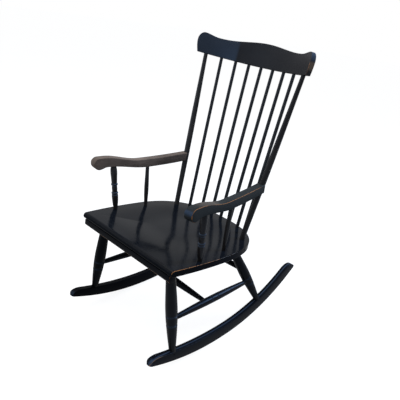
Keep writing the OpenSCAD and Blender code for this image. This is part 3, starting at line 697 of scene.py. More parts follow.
def crest_scuff(co, n):
    """The middle of the left end is scuffed brown."""
    _, endward, along = crest_facing(co, n)
    if along < CREST_END - END_NEAR:
        return 0.0
    return band(endward, 0.5, 0.9) * hump(co.z, *END_SCUFF, END_SCUFF_SOFT)


def make_crest():
    near_end = [CREST_END - from_end for from_end in EAR_RINGS]
    between = [near_end[-1] * i / CREST_STEPS for i in range(CREST_STEPS - 1, -CREST_STEPS, -1)]
    stations = near_end + between + [-along for along in reversed(near_end)]
    along0 = stations[0]
    low0, high0 = crest_edges(along0)
    piece = bar_end("crest_board", CREST_THICK, CREST_DIP, CREST_EASE, CREST_EASE,
                    (0, CREST_BEND, CREST_DIP / 2), "X")
    bpy.ops.transform.resize(value=(1, 1, (high0 - low0) / CREST_DIP), center_override=(0, 0, 0))
    bpy.ops.transform.translate(value=(0, 0, low0))
    # This tool turns clockwise, so that a positive angle carries the end towards +X
    bpy.ops.transform.rotate(value=along0 / CREST_BEND, orient_axis="Z", center_override=(0, 0, 0))
    for along in stations[1:]:
        low, high = crest_edges(along)
        turn = (along - along0) / CREST_BEND
        bpy.ops.mesh.extrude_region_move(TRANSFORM_OT_translate={"value": (0, 0, low - low0)})
        bpy.ops.transform.rotate(value=turn, orient_axis="Z", center_override=(0, 0, 0))
        bpy.ops.transform.resize(value=(1, 1, (high - low) / (high0 - low0)),
                                 center_override=(0, 0, low))
        low0, high0, along0 = low, high, along
    put_down(piece, BENT_SMOOTH)
    rub_edges(piece, crest_wear, crest_painted_reflection, None, crest_scuff)
    leaned = Matrix.Translation(BACK_TOP) @ Matrix.Rotation(-CREST_LEAN, 4, "X")
    return set_in_place(piece, leaned @ Matrix.Translation((0, -CREST_BEND, 0)))


# The arms
ARM_EASE = 0.0022
ARM_TIP = -ARM_OVERHANG
NOSE_TURNS = (9, 18, 27, 36, 45, 54, 63, 72, 81)
ARM_STEPS = 34
POST_CUTTER = (0.05, 0.05, 0.2)
# Along an arm from its front post: where the left arm's worn edge ends, short of the back post, where
# it is worn a little less, and where its top is scuffed; and how softly each of them ends
WEAR_SHORT = 0.012
LESS_WORN = (0.0, 0.03)
TOP_SCUFF = (-0.02, 0.045)
ARM_SOFT = 0.03
NOSE_REACH = 0.004


def arm_section(s):
    """Half the width, the underside and the top of an arm at a distance behind its front post."""
    half = ARM_WIDE / 2
    if s < ARM_TIP + ARM_CORNER:
        half += math.sqrt(max(0.0, ARM_CORNER ** 2 - (ARM_TIP + ARM_CORNER - s) ** 2)) - ARM_CORNER
    if s < ARM_NOSE_S:
        high = math.sqrt(max(0.0, ARM_NOSE ** 2 - (ARM_NOSE_S - s) ** 2))
        return half, ARM_NOSE_Z - high, ARM_NOSE_Z + high
    return half, arm_under(s), arm_top(s)


def left_arm_wear(co, n):
    """The outer top edge is rubbed to the wood as far as the back post, the inner one a little."""
    edge = edge_between(n.x, math.hypot(n.y, n.z), 0.3, 0.62)
    if n.x > 0 and (n.z > 0.15 or co.y < ARM_NOSE_S + NOSE_REACH):
        strength = 1.0 - 0.3 * hump(co.y, *LESS_WORN, ARM_SOFT)
        return edge * strength * band(ARM_REACH - WEAR_SHORT - co.y, 0, ARM_SOFT)
    return 0.3 * edge if n.x < 0 and n.z > 0 else 0.0


def right_arm_wear(co, n):
    """All edges are rubbed a little, and the inner side, which is marked before it is mirrored."""
    edge = edge_between(n.x, math.hypot(n.y, n.z), 0.3, 0.62)
    return max(0.35 * edge, 0.28 * band(n.x, 0.3, 0.8))


def left_arm_painted_reflection(co, n):
    """A painted reflection of the sky's blue lies on the front of the nose."""
    return band(-n.y, 0.62, 0.8) * band(n.z, 0.02, 0.2)


def left_arm_scuff(co, n):
    """The top is scuffed over the front post."""
    return 0.6 * hump(co.y, *TOP_SCUFF, ARM_SOFT) * band(n.z, 0.6, 0.95)


def arm_dull(co, n):
    """Only the top is glossy."""
    return band(-n.z, -0.05, 0.1)


def draw_arm(name):
    """An arm along +Y, with its front post at Y 0."""
    stations = [ARM_TIP + ARM_NOSE * (1 - math.cos(math.radians(turn))) for turn in NOSE_TURNS]
    stations += [ARM_NOSE_S + (ARM_REACH - ARM_NOSE_S) * i / ARM_STEPS for i in range(ARM_STEPS + 1)]
    s0 = stations[0]
    half0, low0, high0 = arm_section(s0)
    middle0 = (low0 + high0) / 2
    piece = bar_end(name, ARM_WIDE, ARM_FRONT_DEEP, ARM_EASE, ARM_EASE, (0, s0, middle0), "Y")
    bpy.ops.transform.resize(value=(2 * half0 / ARM_WIDE, 1, (high0 - low0) / ARM_FRONT_DEEP),
                             center_override=(0, s0, middle0))
    for s in stations[1:]:
        half, low, high = arm_section(s)
        middle = (low + high) / 2
        grow = (half / half0, 1, (high - low) / (high0 - low0))
        draw_out((0, s - s0, middle - middle0), grow, (0, s, middle))
        half0, low0, high0, middle0, s0 = half, low, high, middle, s
    return put_down(piece, BOARD_SMOOTH)


def turn_over(piece):
    """Mirrors a piece that still lies over the middle of its drawing from left to right."""
    bpy.ops.object.mode_set(mode="EDIT")
    bpy.ops.mesh.select_all(action="SELECT")
    bpy.ops.transform.mirror(constraint_axis=(True, False, False), center_override=(0, 0, 0))
    bpy.ops.mesh.normals_make_consistent(inside=False)
    bpy.ops.mesh.select_all(action="DESELECT")
    bpy.ops.object.mode_set(mode="OBJECT")


def cut_for_post(piece, side):
    """Cuts the arm's inner side away where the back post passes it uncovered."""
    empty_hands()
    bpy.ops.mesh.primitive_cube_add(size=1)
    cutter = bpy.context.object
    axis = (post_top(side) - post_foot(side)).normalized()
    across = Vector((side, 0, 0))
    across = (across - axis * across.dot(axis)).normalized()
    turned = Matrix((across, axis.cross(across) * side, axis)).transposed().to_4x4()
    middle = Vector((side * ARM_REAR_MIDDLE.x, ARM_REAR_MIDDLE.y, ARM_REAR_MIDDLE.z))
    wide, deep, high = POST_CUTTER
    inside = Matrix.Translation((-wide / 2, deep / 2 - POST_THICK / 2, 0))
    cutter.matrix_world = (Matrix.Translation(middle) @ turned @ inside
                           @ Matrix.Diagonal((wide, deep, high, 1)))
    bpy.context.view_layer.objects.active = piece
    cut = piece.modifiers.new("post_side", "BOOLEAN")
    cut.operation, cut.object, cut.solver = "DIFFERENCE", cutter, "EXACT"
    bpy.ops.object.modifier_apply(modifier=cut.name)
    bpy.data.objects.remove(cutter, do_unlink=True)


def make_arm(side):
    if side > 0:
        piece = draw_arm("left_arm_board")
        rub_edges(piece, left_arm_wear, left_arm_painted_reflection, arm_dull, left_arm_scuff)
    else:
        piece = draw_arm("right_arm_board")
        rub_edges(piece, right_arm_wear, None, arm_dull)
        turn_over(piece)
    set_in_place(piece, Matrix.Translation((side * ARM_SPREAD / 2, ARM_FRONT_Y, 0))
                 @ Matrix.Rotation(side * ARM_TURN, 4, "Z"))
    cut_for_post(piece, side)
    return piece


# The runners
RUNNER_ROUND = 0.0036
RUNNER_SOLE_EASE = 0.0018
RUNNER_NOSE_Y = RUNNER_NOSE - RUNNER_FRONT
RUNNER_HEEL_Y = RUNNER_REAR - RUNNER_HEEL
RUNNER_NOSE_TURNS = (4, 10, 16, 22, 29, 36, 44, 52, 60, 69, 78, 87)
RUNNER_STEPS = 44
RUNNER_HEEL_STEPS = 14
# The painted highlight stripe on the left runner's top: its cuts, outwards from the middle of the top,
# its own middle, how far out it moves towards the nose and between which distances ahead
STRIPE_CUTS = (-0.004, -0.0015, 0.0005, 0.0015, 0.003, 0.005, 0.007)
STRIPE_MIDDLE = 0.0015
STRIPE_SWING = 0.006
STRIPE_AHEAD = (0.27, 0.34)
STRIPE_HALF = 0.0012
STRIPE_SOFT = 0.0018
# How far behind the nose's slope its worn edge, its scuff and its facet of painted highlight reach,
# where its tip is worn behind the runner's end, and across what distance from the middle of the top the
# facet starts
NOSE_WEAR = 0.025
NOSE_SCUFF = 0.02
NOSE_FACET = 0.012
TIP_WEAR = (0.004, 0.001)
FACET_OFF = (-0.002, 0.002)


def runner_section(y):
    """The sole, the top and half the width of a runner at a place along it."""
    full = 1.0
    if y < RUNNER_NOSE_Y:
        full = math.sqrt(max(0.0, 1 - ((RUNNER_NOSE_Y - y) / RUNNER_NOSE) ** 2))
    elif y > RUNNER_HEEL_Y:
        full = 1 - (1 - HEEL_SHARE) * ((y - RUNNER_HEEL_Y) / RUNNER_HEEL) ** 2
    low = sole_z(y)
    half, ahead = RUNNER_WIDE / 2, RUNNER_CORNER - RUNNER_FRONT - y
    if ahead > 0:
        half += math.sqrt(max(0.0, RUNNER_CORNER ** 2 - ahead ** 2)) - RUNNER_CORNER
    return low, low + (top_z(y) - low) * full, half


def runner_wear(side, co, n):
    """The nose's outer edge is rubbed to the wood at its tip, and the edges of the sole a little."""
    outer = n.x * side
    nose = band(RUNNER_NOSE_Y + NOSE_WEAR - co.y, 0, NOSE_WEAR) * band(n.z, -0.1, 0.1)
    line = edge_between(outer, math.hypot(n.y, n.z), 0.3, 0.6) * nose * (0.62 if outer > 0.5 else 0.1)
    tip = 0.9 * band(co.y + RUNNER_FRONT, *TIP_WEAR) * band(outer, 0.2, 0.5)
    return max(line, tip, 0.4 * band(-n.z, 0.4, 0.8) * band(abs(outer), 0.3, 0.6))


def runner_painted_highlight(side, co, n):
    """A painted highlight of the sky's blue lies along the left runner's top and down its nose, and on
    the right one's nose.
    """
    if side < 0:
        return 0.4 * band(-n.y, 0.3, 0.6)
    off = co.x - RUNNER_TRACK / 2 - STRIPE_MIDDLE
    swung = off - STRIPE_SWING * band(-co.y, *STRIPE_AHEAD)
    stripe = hump(swung, -STRIPE_HALF, STRIPE_HALF, STRIPE_SOFT) * band(n.z, 0.5, 0.8)
    facet = band(-n.y, 0.1, 0.4) * band(RUNNER_NOSE_Y + NOSE_FACET - co.y, 0, NOSE_FACET)
    return max(stripe, 0.85 * facet * band(co.x - RUNNER_TRACK / 2, *FACET_OFF))


def runner_scuff(side, co, n):
    """The nose's outer edge is scuffed."""
    nose = band(RUNNER_NOSE_Y + NOSE_SCUFF - co.y, 0, NOSE_SCUFF) * band(n.z, -0.1, 0.1)
    return 0.9 * hump(n.x * side, 0.35, 0.7, 0.2) * nose


def make_runner(side):
    stations = [RUNNER_NOSE_Y - RUNNER_NOSE * math.cos(math.radians(turn)) for turn in RUNNER_NOSE_TURNS]
    stations += [RUNNER_NOSE_Y + (RUNNER_HEEL_Y - RUNNER_NOSE_Y) * i / RUNNER_STEPS
                 for i in range(RUNNER_STEPS + 1)]
    stations += [RUNNER_HEEL_Y + RUNNER_HEEL * i / RUNNER_HEEL_STEPS
                 for i in range(1, RUNNER_HEEL_STEPS + 1)]
    x, y0 = side * RUNNER_TRACK / 2, stations[0]
    low0, high0, half0 = runner_section(y0)
    start = (x, y0, (low0 + high0) / 2)
    name = "left_runner_board" if side > 0 else "right_runner_board"
    piece = bar_end(name, RUNNER_WIDE, RUNNER_HIGH, RUNNER_ROUND, RUNNER_SOLE_EASE, start, "Y")
    bpy.ops.transform.resize(value=(2 * half0 / RUNNER_WIDE, 1, (high0 - low0) / RUNNER_HIGH),
                             center_override=start)
    for y in stations[1:]:
        low, high, half = runner_section(y)
        grow = (half / half0, 1, (high - low) / (high0 - low0))
        draw_out((0, y - y0, (low + high - low0 - high0) / 2), grow, (x, y, (low + high) / 2))
        y0, low0, high0, half0 = y, low, high, half
    for off in STRIPE_CUTS:
        bpy.ops.mesh.select_all(action="SELECT")
        bpy.ops.mesh.bisect(plane_co=(x + side * off, 0, 0), plane_no=(1, 0, 0))
    put_down(piece, BOARD_SMOOTH)
    wear, painted_highlight, scuff = (partial(rule, side) for rule in (runner_wear, runner_painted_highlight, runner_scuff))
    return rub_edges(piece, wear, painted_highlight, None, scuff)


# Turned pieces
# The many coats of old paint thicken the slim uprights
OLD_COATS = 0.0009
# How far a turned piece goes into the pieces that hold its foot and its head
ROOT = 0.010
HEAD_ROOT = 0.006
SPINDLE_HEAD_ROOT = 0.008
STRETCHER_ROOT = 0.012
# Points along a whole piece, and round it
POST_STEPS = 40
SPINDLE_STEPS = 22
ARM_POST_STEPS = 130
ARM_SPINDLE_STEPS = 36
LEG_STEPS = 60
STRETCHER_STEPS = 60
TURNED_SIDES = 40
SPINDLE_SIDES = 28
LEG_SIDES = 48
STRETCHER_SIDES = 36
# A spindle keeps its foot's thickness as far as the first share of its length
SPINDLE_TAPER = ((0, 1), (0.35, 1), (0.7, 0.955))
# A stretcher's ends are thinner inside the pieces that hold them
STRETCHER_ROOT_SHARE = 0.98
SWELL_STEPS = 24
# Scored rings: half their width, their depths, and the shares of the half width where each has a point
RING_WIDE = 0.0020
LEG_RING_DEEP = 0.0014
STRETCHER_RING_DEEP = 0.0012
RING_POINTS = ((-2.6, 0), (-1.8, 0), (-1, 0), (-0.3, 1), (0.3, 1), (1, 0), (1.8, 0), (2.6, 0))
RING_CLEAR = 3
# Painted lines of light: half their width, and how far they fade out on a ring and on a bead
LINE_HALF = 0.0005
RING_GLOW = 0.0018
BEAD_GLOW = 0.003
# The tenon at a leg's foot: its radius, how far it goes into the runner, and the step up to the leg
LEG_TENON = 0.006
LEG_TENON_LONG = 0.022
TENON_STEP = 0.0001


def scored(profile, rings, deep):
    """Cuts V-shaped rings, given as places along a profile, into it."""
    for place in rings:
        radius = radius_at(profile, place)
        profile = [p for p in profile if abs(p[0] - place) > RING_WIDE * RING_CLEAR]
        profile += [(place + RING_WIDE * at, radius - deep * cut) for at, cut in RING_POINTS]
        profile.sort()
    return profile


def radius_at(profile, place):
    for (z0, r0), (z1, r1) in zip(profile, profile[1:]):
        if z0 <= place <= z1:
            return r0 + (r1 - r0) * (place - z0) / (z1 - z0)
    return profile[-1][1]


def both_sides(length, shares):
    """The two rims of each scored ring on a piece."""
    return [length * share + step for share in shares for step in (-RING_WIDE, RING_WIDE)]


def rooted(profile, length, head_root=HEAD_ROOT):
    """Carries a profile on into its sockets."""
    return [(-ROOT, profile[0][1])] + profile + [(length + head_root, profile[-1][1])]


def turn_piece(name, foot, head, profile, sides=TURNED_SIDES):
    """Turns a round piece: a disc is drawn out along the axis and sized at each place."""
    empty_hands()
    first = profile[0][1]
    bpy.ops.mesh.primitive_circle_add(vertices=sides, radius=first, fill_type="NGON",
                                      location=(0, 0, profile[0][0]))
    piece = take_up(name)
    for (z0, r0), (z1, r1) in zip(profile, profile[1:]):
        draw_out((0, 0, z1 - z0), (r1 / r0, r1 / r0, 1), (0, 0, z1))
    put_down(piece, TURNED_SMOOTH)
    turned = (head - foot).to_track_quat("Z", "Y").to_matrix().to_4x4()
    return set_in_place(piece, Matrix.Translation(foot) @ turned)


def shaped(table, length, thick, steps):
    return [(share * length, radius * thick / 2) for share, radius in smooth_curve(table, steps)]


def plain_coat(piece, foot, head, lines=(), glow=RING_GLOW, strength=0.5, top_highlight=0.0):
    """No wear; a painted highlight line round the piece at each of some distances, and one along its
    top.
    """
    axis = (head - foot).normalized()
    outwards = 1 if (foot.x + head.x) > 0 else -1

    def painted_highlight(co, n):
        along = (co - foot).dot(axis)
        ring = max((hump(along, at - LINE_HALF, at + LINE_HALF, glow) for at in lines), default=0.0)
        top = hump(n.z, 0.76, 0.94, 0.1) * band(n.x * outwards, 0.1, 0.3)
        return max(strength * ring, top_highlight * top)

    return rub_edges(piece, nowhere, painted_highlight)


def make_post(side):
    foot, head = post_foot(side), post_top(side)
    length = (head - foot).length
    profile = rooted(shaped(POST_SHAPE, length, POST_THICK + OLD_COATS, POST_STEPS), length)
    return plain_coat(turn_piece(side_name(side) + "_post_turned", foot, head, profile), foot, head)


def make_spindle(i):
    foot, head = spindle_ends(i)
    length = (head - foot).length
    table = [(share, part * (SPINDLE_FOOT / 2 + OLD_COATS)) for share, part in SPINDLE_TAPER]
    table.append((1, SPINDLE_TOP / 2 + OLD_COATS))
    profile = [(share * length, radius) for share, radius in smooth_curve(table, SPINDLE_STEPS)]
    profile = rooted(profile, length, SPINDLE_HEAD_ROOT)
    piece = turn_piece(f"spindle_{i}_turned", foot, head, profile, SPINDLE_SIDES)
    return plain_coat(piece, foot, head)


def make_arm_post(side):
    foot = arm_post_foot(side)
    head = arm_point(side, 0, arm_under(0))
    length = (head - foot).length
    profile = rooted(shaped(ARM_POST_SHAPE, length, ARM_POST_THICK, ARM_POST_STEPS), length)
    piece = turn_piece(side_name(side) + "_arm_post_turned", foot, head, profile)
    return plain_coat(piece, foot, head, [length * share for share in ARM_POST_HIGHLIGHTS], BEAD_GLOW, 0.7)


def make_arm_spindle(side):
    foot = seat_point(side * ARM_SPINDLE_FOOT_SPREAD / 2, ARM_SPINDLE_BACK, 0)
    head = arm_point(side, ARM_SPINDLE_ALONG, arm_under(ARM_SPINDLE_ALONG))
    length = (head - foot).length
    thick = ARM_SPINDLE_THICK + OLD_COATS
    profile = rooted(shaped(ARM_SPINDLE_SHAPE, length, thick, ARM_SPINDLE_STEPS), length)
    piece = turn_piece(side_name(side) + "_arm_spindle_turned", foot, head, profile)
    return plain_coat(piece, foot, head)


def make_leg(front, side):
    head, foot = leg_ends(front, side)
    length = (foot - head).length
    rings = [length * share for share in LEG_RINGS]
    profile = shaped(LEG_SHAPE, length, LEG_THICK, LEG_STEPS)
    profile = rooted(scored(profile, rings, LEG_RING_DEEP), length)
    profile += [(length + HEAD_ROOT + TENON_STEP, LEG_TENON), (length + LEG_TENON_LONG, LEG_TENON)]
    name = ("front_" if front else "rear_") + side_name(side) + "_leg_turned"
    piece = turn_piece(name, head, foot, profile, LEG_SIDES)
    return plain_coat(piece, head, foot, both_sides(length, LEG_RINGS))


def make_stretcher(name, a, b, start, end_thick, rings, top_highlight=0.0):
    """A stretcher between two middles, whose shape starts at the skin of the pieces that hold it."""
    length = (b - a).length
    span = length - 2 * start
    swell = (STRETCHER_THICK - end_thick) / 2
    table = []
    for i in range(SWELL_STEPS + 1):
        share = i / SWELL_STEPS
        table.append((start + span * share, end_thick / 2 + swell * math.sin(math.pi * share)))
    hidden = end_thick / 2 * STRETCHER_ROOT_SHARE
    profile = [(start - STRETCHER_ROOT, hidden)] + smooth_curve(table, STRETCHER_STEPS)
    profile.append((length - start + STRETCHER_ROOT, hidden))
    profile = scored(profile, [length * ring for ring in rings], STRETCHER_RING_DEEP)
    piece = turn_piece(name, a, b, profile, STRETCHER_SIDES)
    return plain_coat(piece, a, b, both_sides(length, rings), top_highlight=top_highlight)


def leg_radius(share):
    return radius_at(LEG_SHAPE, share) * LEG_THICK / 2


def make_stretchers():
    pieces = {}
    middles = {}
    for side in (1, -1):
        front = leg_place(True, side, FRONT_STRETCHER_AT)
        back = leg_place(False, side, BACK_STRETCHER_AT)
        middles[side] = front.lerp(back, CENTRE_STRETCHER_AT)
        node = side_name(side) + "_side_stretcher"
        # The side stretchers take a painted highlight along their tops
        pieces[node] = make_stretcher(node + "_turned", front, back, leg_radius(FRONT_STRETCHER_AT),
                                      STRETCHER_END, STRETCHER_RINGS, 0.55)
    pieces["centre_stretcher"] = make_stretcher("centre_stretcher_turned", middles[1], middles[-1],
                                                STRETCHER_THICK / 2, CENTRE_END, STRETCHER_RINGS)
    left, right = (leg_place(False, side, REAR_STRETCHER_AT) for side in (1, -1))
    pieces["rear_stretcher"] = make_stretcher("rear_stretcher_turned", left, right,
                                              leg_radius(REAR_STRETCHER_AT), STRETCHER_END, ())
    return pieces


# Finishes


def link(tree, source, target):
    tree.links.new(source, target)


def add(tree, kind, **settings):
    node = tree.nodes.new(kind)
    for key, value in settings.items():
        if key in node.inputs:
            node.inputs[key].default_value = value
        else:
            setattr(node, key, value)
    return node


def ramp(tree, factor, stops):
    node = add(tree, "ShaderNodeValToRGB")
    elements = node.color_ramp.elements
    while len(elements) > 1:
        elements.remove(elements[-1])
    elements[0].position, elements[0].color = stops[0][0], (*stops[0][1], 1)
    for place, colour in stops[1:]:
        element = elements.new(place)
        element.color = (*colour, 1)
    link(tree, factor, node.inputs["Fac"])
    return node.outputs["Color"]


def to_range(tree, factor, low, high, new_low, new_high):
    node = add(tree, "ShaderNodeMapRange", **{"From Min": low, "From Max": high, "To Min": new_low,
                                              "To Max": new_high})
    node.clamp = True
    link(tree, factor, node.inputs["Value"])
    return node.outputs["Result"]


def blend_colours(tree, factor, a, b):
    node = add(tree, "ShaderNodeMix", data_type="RGBA")
    sockets = [s for s in node.inputs if s.type == "RGBA"]
    for socket, value in zip(sockets, (a, b)):
        if hasattr(value, "is_linked"):
            link(tree, value, socket)
        else:
            socket.default_value = (*value, 1)
    link(tree, factor, node.inputs["Factor"])
    return [s for s in node.outputs if s.type == "RGBA"][0]


def sums(tree, operation, a, b):
    node = add(tree, "ShaderNodeMath", operation=operation)
    for socket, value in zip(node.inputs, (a, b)):
        if hasattr(value, "is_linked"):
            link(tree, value, socket)
        else:
            socket.default_value = value
    return node.outputs[0]


def noise(tree, place, scale, detail=3.0, rough=0.5, stretch=(1, 1, 1)):
    mapping = add(tree, "ShaderNodeMapping")
    mapping.inputs["Scale"].default_value = stretch
    link(tree, place, mapping.inputs["Vector"])
    node = add(tree, "ShaderNodeTexNoise", Scale=scale, Detail=detail, Roughness=rough)
    link(tree, mapping.outputs[0], node.inputs["Vector"])
    return node.outputs["Fac"]


# The sky's blue, painted into the colour as highlights and reflections
PAINTED_SKY_REFLECTION = (0.029, 0.045, 0.076)
OLD_SCUFF = (0.120, 0.096, 0.078)
BARE_WOOD = (0.46, 0.21, 0.085)
BARE_GRAIN = tuple(part * 0.45 for part in BARE_WOOD)
WORN_HAZE = (0.085, 0.052, 0.032)
COOL_GLOSS = (0.62, 0.78, 1.0)
WARM_GLOSS = (1.0, 0.95, 0.82)


def marked(tree, what):
    node = add(tree, "ShaderNodeAttribute", attribute_name=what, attribute_type="GEOMETRY")
    return node.outputs["Fac"]


def times(tree, value, factor):
    return sums(tree, "MULTIPLY", value, factor)


def weighed(tree, a, a_share, b, b_share):
    return sums(tree, "ADD", times(tree, a, a_share), times(tree, b, b_share))


def paint_colour(tree, place, broad, strokes, blacks, pale):
    """The brushed black, paler towards one end where asked, under its painted blue highlights and its
    scuffs.
    """
    dark, light = blacks
    paint = ramp(tree, weighed(tree, broad, 0.6, strokes, 0.4), [(0.36, dark), (0.66, light)])
    if pale:
        axis, start, end, shade = pale
        split = add(tree, "ShaderNodeSeparateXYZ")
        link(tree, place, split.inputs[0])
        reach = to_range(tree, split.outputs[axis], start, end, 0.0, 1.0)
        paint = blend_colours(tree, reach, paint, shade)
    # The painted highlights and reflections: the sky's blue laid into the colour where a piece marks it
    paint = blend_colours(tree, marked(tree, "painted_highlight"), paint, PAINTED_SKY_REFLECTION)
    scuffed = times(tree, marked(tree, "scuff"), to_range(tree, broad, 0.3, 0.6, 0.45, 1.0))
    return blend_colours(tree, scuffed, paint, OLD_SCUFF)


def wear_through(tree, place, paint):
    """Rubs the paint to a brown haze and then to the wood; gives the colour and how bare it is."""
    chips = noise(tree, place, 130.0, 5.0, 0.62)
    patches = noise(tree, place, 24.0, 2.0, 0.5)
    level = sums(tree, "ADD", marked(tree, "wear"), weighed(tree, chips, 0.5, patches, 0.5))
    rubbed = to_range(tree, level, 0.98, 1.22, 0.0, 1.0)
    haze = to_range(tree, level, 0.72, 1.1, 0.0, 0.28)
    wood = ramp(tree, chips, [(0.35, BARE_GRAIN), (0.6, BARE_WOOD)])
    colour = blend_colours(tree, haze, paint, WORN_HAZE)
    return blend_colours(tree, rubbed, colour, wood), rubbed


def brushed_paint(name, blacks, roughness, ior, stretch, tint=COOL_GLOSS, pale=None, orange_peel=0.12,
                  edge_gloss=0.03):
    """Black paint laid on by brush, worn through to the wood where a piece says it is rubbed."""
    finish = bpy.data.materials.new(name)
    finish.use_nodes = True
    tree = finish.node_tree
    tree.nodes.clear()
    out = add(tree, "ShaderNodeOutputMaterial")
    shader = add(tree, "ShaderNodeBsdfPrincipled")
    shader.inputs["IOR"].default_value = ior
    shader.inputs["Specular Tint"].default_value = (*tint, 1)
    link(tree, shader.outputs[0], out.inputs["Surface"])
    # The old paint loses its gloss where it is seen along its surface
    slant = add(tree, "ShaderNodeLayerWeight", Blend=0.5).outputs["Facing"]
    gloss_left = sums(tree, "SUBTRACT", 1.0, times(tree, marked(tree, "dull"), 0.85))
    mirror = times(tree, to_range(tree, slant, 0.35, 0.9, 0.5, edge_gloss), gloss_left)
    link(tree, mirror, shader.inputs["Specular IOR Level"])
    place = add(tree, "ShaderNodeTexCoord").outputs["Object"]
    broad = noise(tree, place, 9.0, 4.0, 0.55)
    strokes = noise(tree, place, 55.0, 4.0, 0.6, stretch)
    fine = noise(tree, place, 900.0, 2.0, 0.5)
    paint = paint_colour(tree, place, broad, strokes, blacks, pale)
    colour, rubbed = wear_through(tree, place, paint)
    link(tree, colour, shader.inputs["Base Color"])
    brushed = to_range(tree, strokes, 0.3, 0.7, roughness * 0.82, roughness * 1.25)
    link(tree, sums(tree, "ADD", brushed, times(tree, rubbed, 0.3)), shader.inputs["Roughness"])
    height = weighed(tree, strokes, 0.5, fine, orange_peel)
    height = sums(tree, "SUBTRACT", height, times(tree, rubbed, 0.5))
    bump = add(tree, "ShaderNodeBump", Strength=0.25, Distance=0.0004)
    link(tree, height, bump.inputs["Height"])
    link(tree, bump.outputs[0], shader.inputs["Normal"])
    return finish


def coat_piece(piece, finish, slot, *nodes):
    piece.data.materials.clear()
    piece.data.materials.append(finish)
    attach(piece, BODY)
    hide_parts(*nodes)


# Brush strokes are long along one axis
ALONG_X = (0.08, 1, 1)
ALONG_Y = (1, 0.08, 1)
ALONG_Z = (1, 1, 0.08)
# The darkest and the lightest black of a paint
CHARCOALS = ((0.0085, 0.0090, 0.0105), (0.0140, 0.0145, 0.0165))
SOOTS = ((0.0030, 0.0034, 0.0048), (0.0055, 0.0062, 0.0085))
FAR_SHADE_BLACKS = ((0.0018, 0.0020, 0.0028), (0.0034, 0.0038, 0.0052))
CROSS_BLACKS = ((0.0022, 0.0026, 0.0040), (0.0042, 0.0048, 0.0070))
RUNNER_BLACKS = ((0.0030, 0.0042, 0.0070), (0.0050, 0.0064, 0.0098))
LEG_BLACKS = ((0.0055, 0.0058, 0.0068), (0.0088, 0.0090, 0.0100))
NEAR_UPRIGHT_BLACKS = ((0.0100, 0.0092, 0.0098), (0.0170, 0.0150, 0.0155))
FAR_UPRIGHT_BLACKS = ((0.0125, 0.0120, 0.0125), (0.0240, 0.0215, 0.0210))
CREST_BLACKS = ((0.0125, 0.0130, 0.0160), (0.0190, 0.0195, 0.0225))
CREST_PALE = ("X", 0.04, 0.28, (0.0260, 0.0260, 0.0290))
SEAT_BLACKS = ((0.0036, 0.0048, 0.0074), (0.0056, 0.0071, 0.0104))
NEAR_ARM_BLACKS = ((0.0165, 0.0195, 0.0215), (0.0225, 0.0260, 0.0280))
FAR_ARM_BROWNS = ((0.064, 0.051, 0.044), (0.160, 0.126, 0.108))

# Each paint has its blacks, its roughness, its index of refraction and the way it was brushed. The left
# side of the chair is the near one to the camera, and each side has the paint seen there: the lighter
# and darker copies of one black for the uprights, legs and runners of the two sides, and for the front
# and rear legs, are painted light and shade.
spindle_paint = brushed_paint("spindle_paint", CHARCOALS, 0.26, 1.28, ALONG_Z)
# Painted light and shade: the uprights' one black, in a copy for the near side and one for the far side
near_upright_paint = brushed_paint("near_upright_paint", NEAR_UPRIGHT_BLACKS, 0.26, 1.20, ALONG_Z)
far_upright_paint = brushed_paint("far_upright_paint", FAR_UPRIGHT_BLACKS, 0.28, 1.26, ALONG_Z)
# Painted light and shade: the legs' one black, lightest on the near front leg, darker on the near rear
# one and darkest on the far side
leg_paint = brushed_paint("leg_paint", LEG_BLACKS, 0.26, 1.17, ALONG_Z)
rear_leg_shade_paint = brushed_paint("rear_leg_shade_paint", SOOTS, 0.26, 1.12, ALONG_Z)
far_leg_shade_paint = brushed_paint("far_leg_shade_paint", FAR_SHADE_BLACKS, 0.26, 1.10, ALONG_Z)
lying_paint = brushed_paint("lying_paint", SOOTS, 0.24, 1.15, ALONG_Y)
# Painted light and shade: the runners' one black, lighter and bluer on the near runner and darkest on
# the far one
near_runner_paint = brushed_paint("near_runner_paint", RUNNER_BLACKS, 0.24, 1.10, ALONG_Y)
far_lying_shade_paint = brushed_paint("far_lying_shade_paint", FAR_SHADE_BLACKS, 0.24, 1.08, ALONG_Y)
cross_paint = brushed_paint("cross_paint", CROSS_BLACKS, 0.26, 1.09, ALONG_X)
crest_paint = brushed_paint("crest_paint", CREST_BLACKS, 0.36, 1.15, ALONG_X, pale=CREST_PALE)
seat_paint = brushed_paint("seat_paint", SEAT_BLACKS, 0.14, 1.125, ALONG_Y, tint=WARM_GLOSS,
                           orange_peel=0.04, edge_gloss=0.4)
near_arm_paint = brushed_paint("near_arm_paint", NEAR_ARM_BLACKS, 0.30, 1.11, ALONG_Y)
far_arm_paint = brushed_paint("far_arm_paint", FAR_ARM_BROWNS, 0.38, 1.15, ALONG_Y)

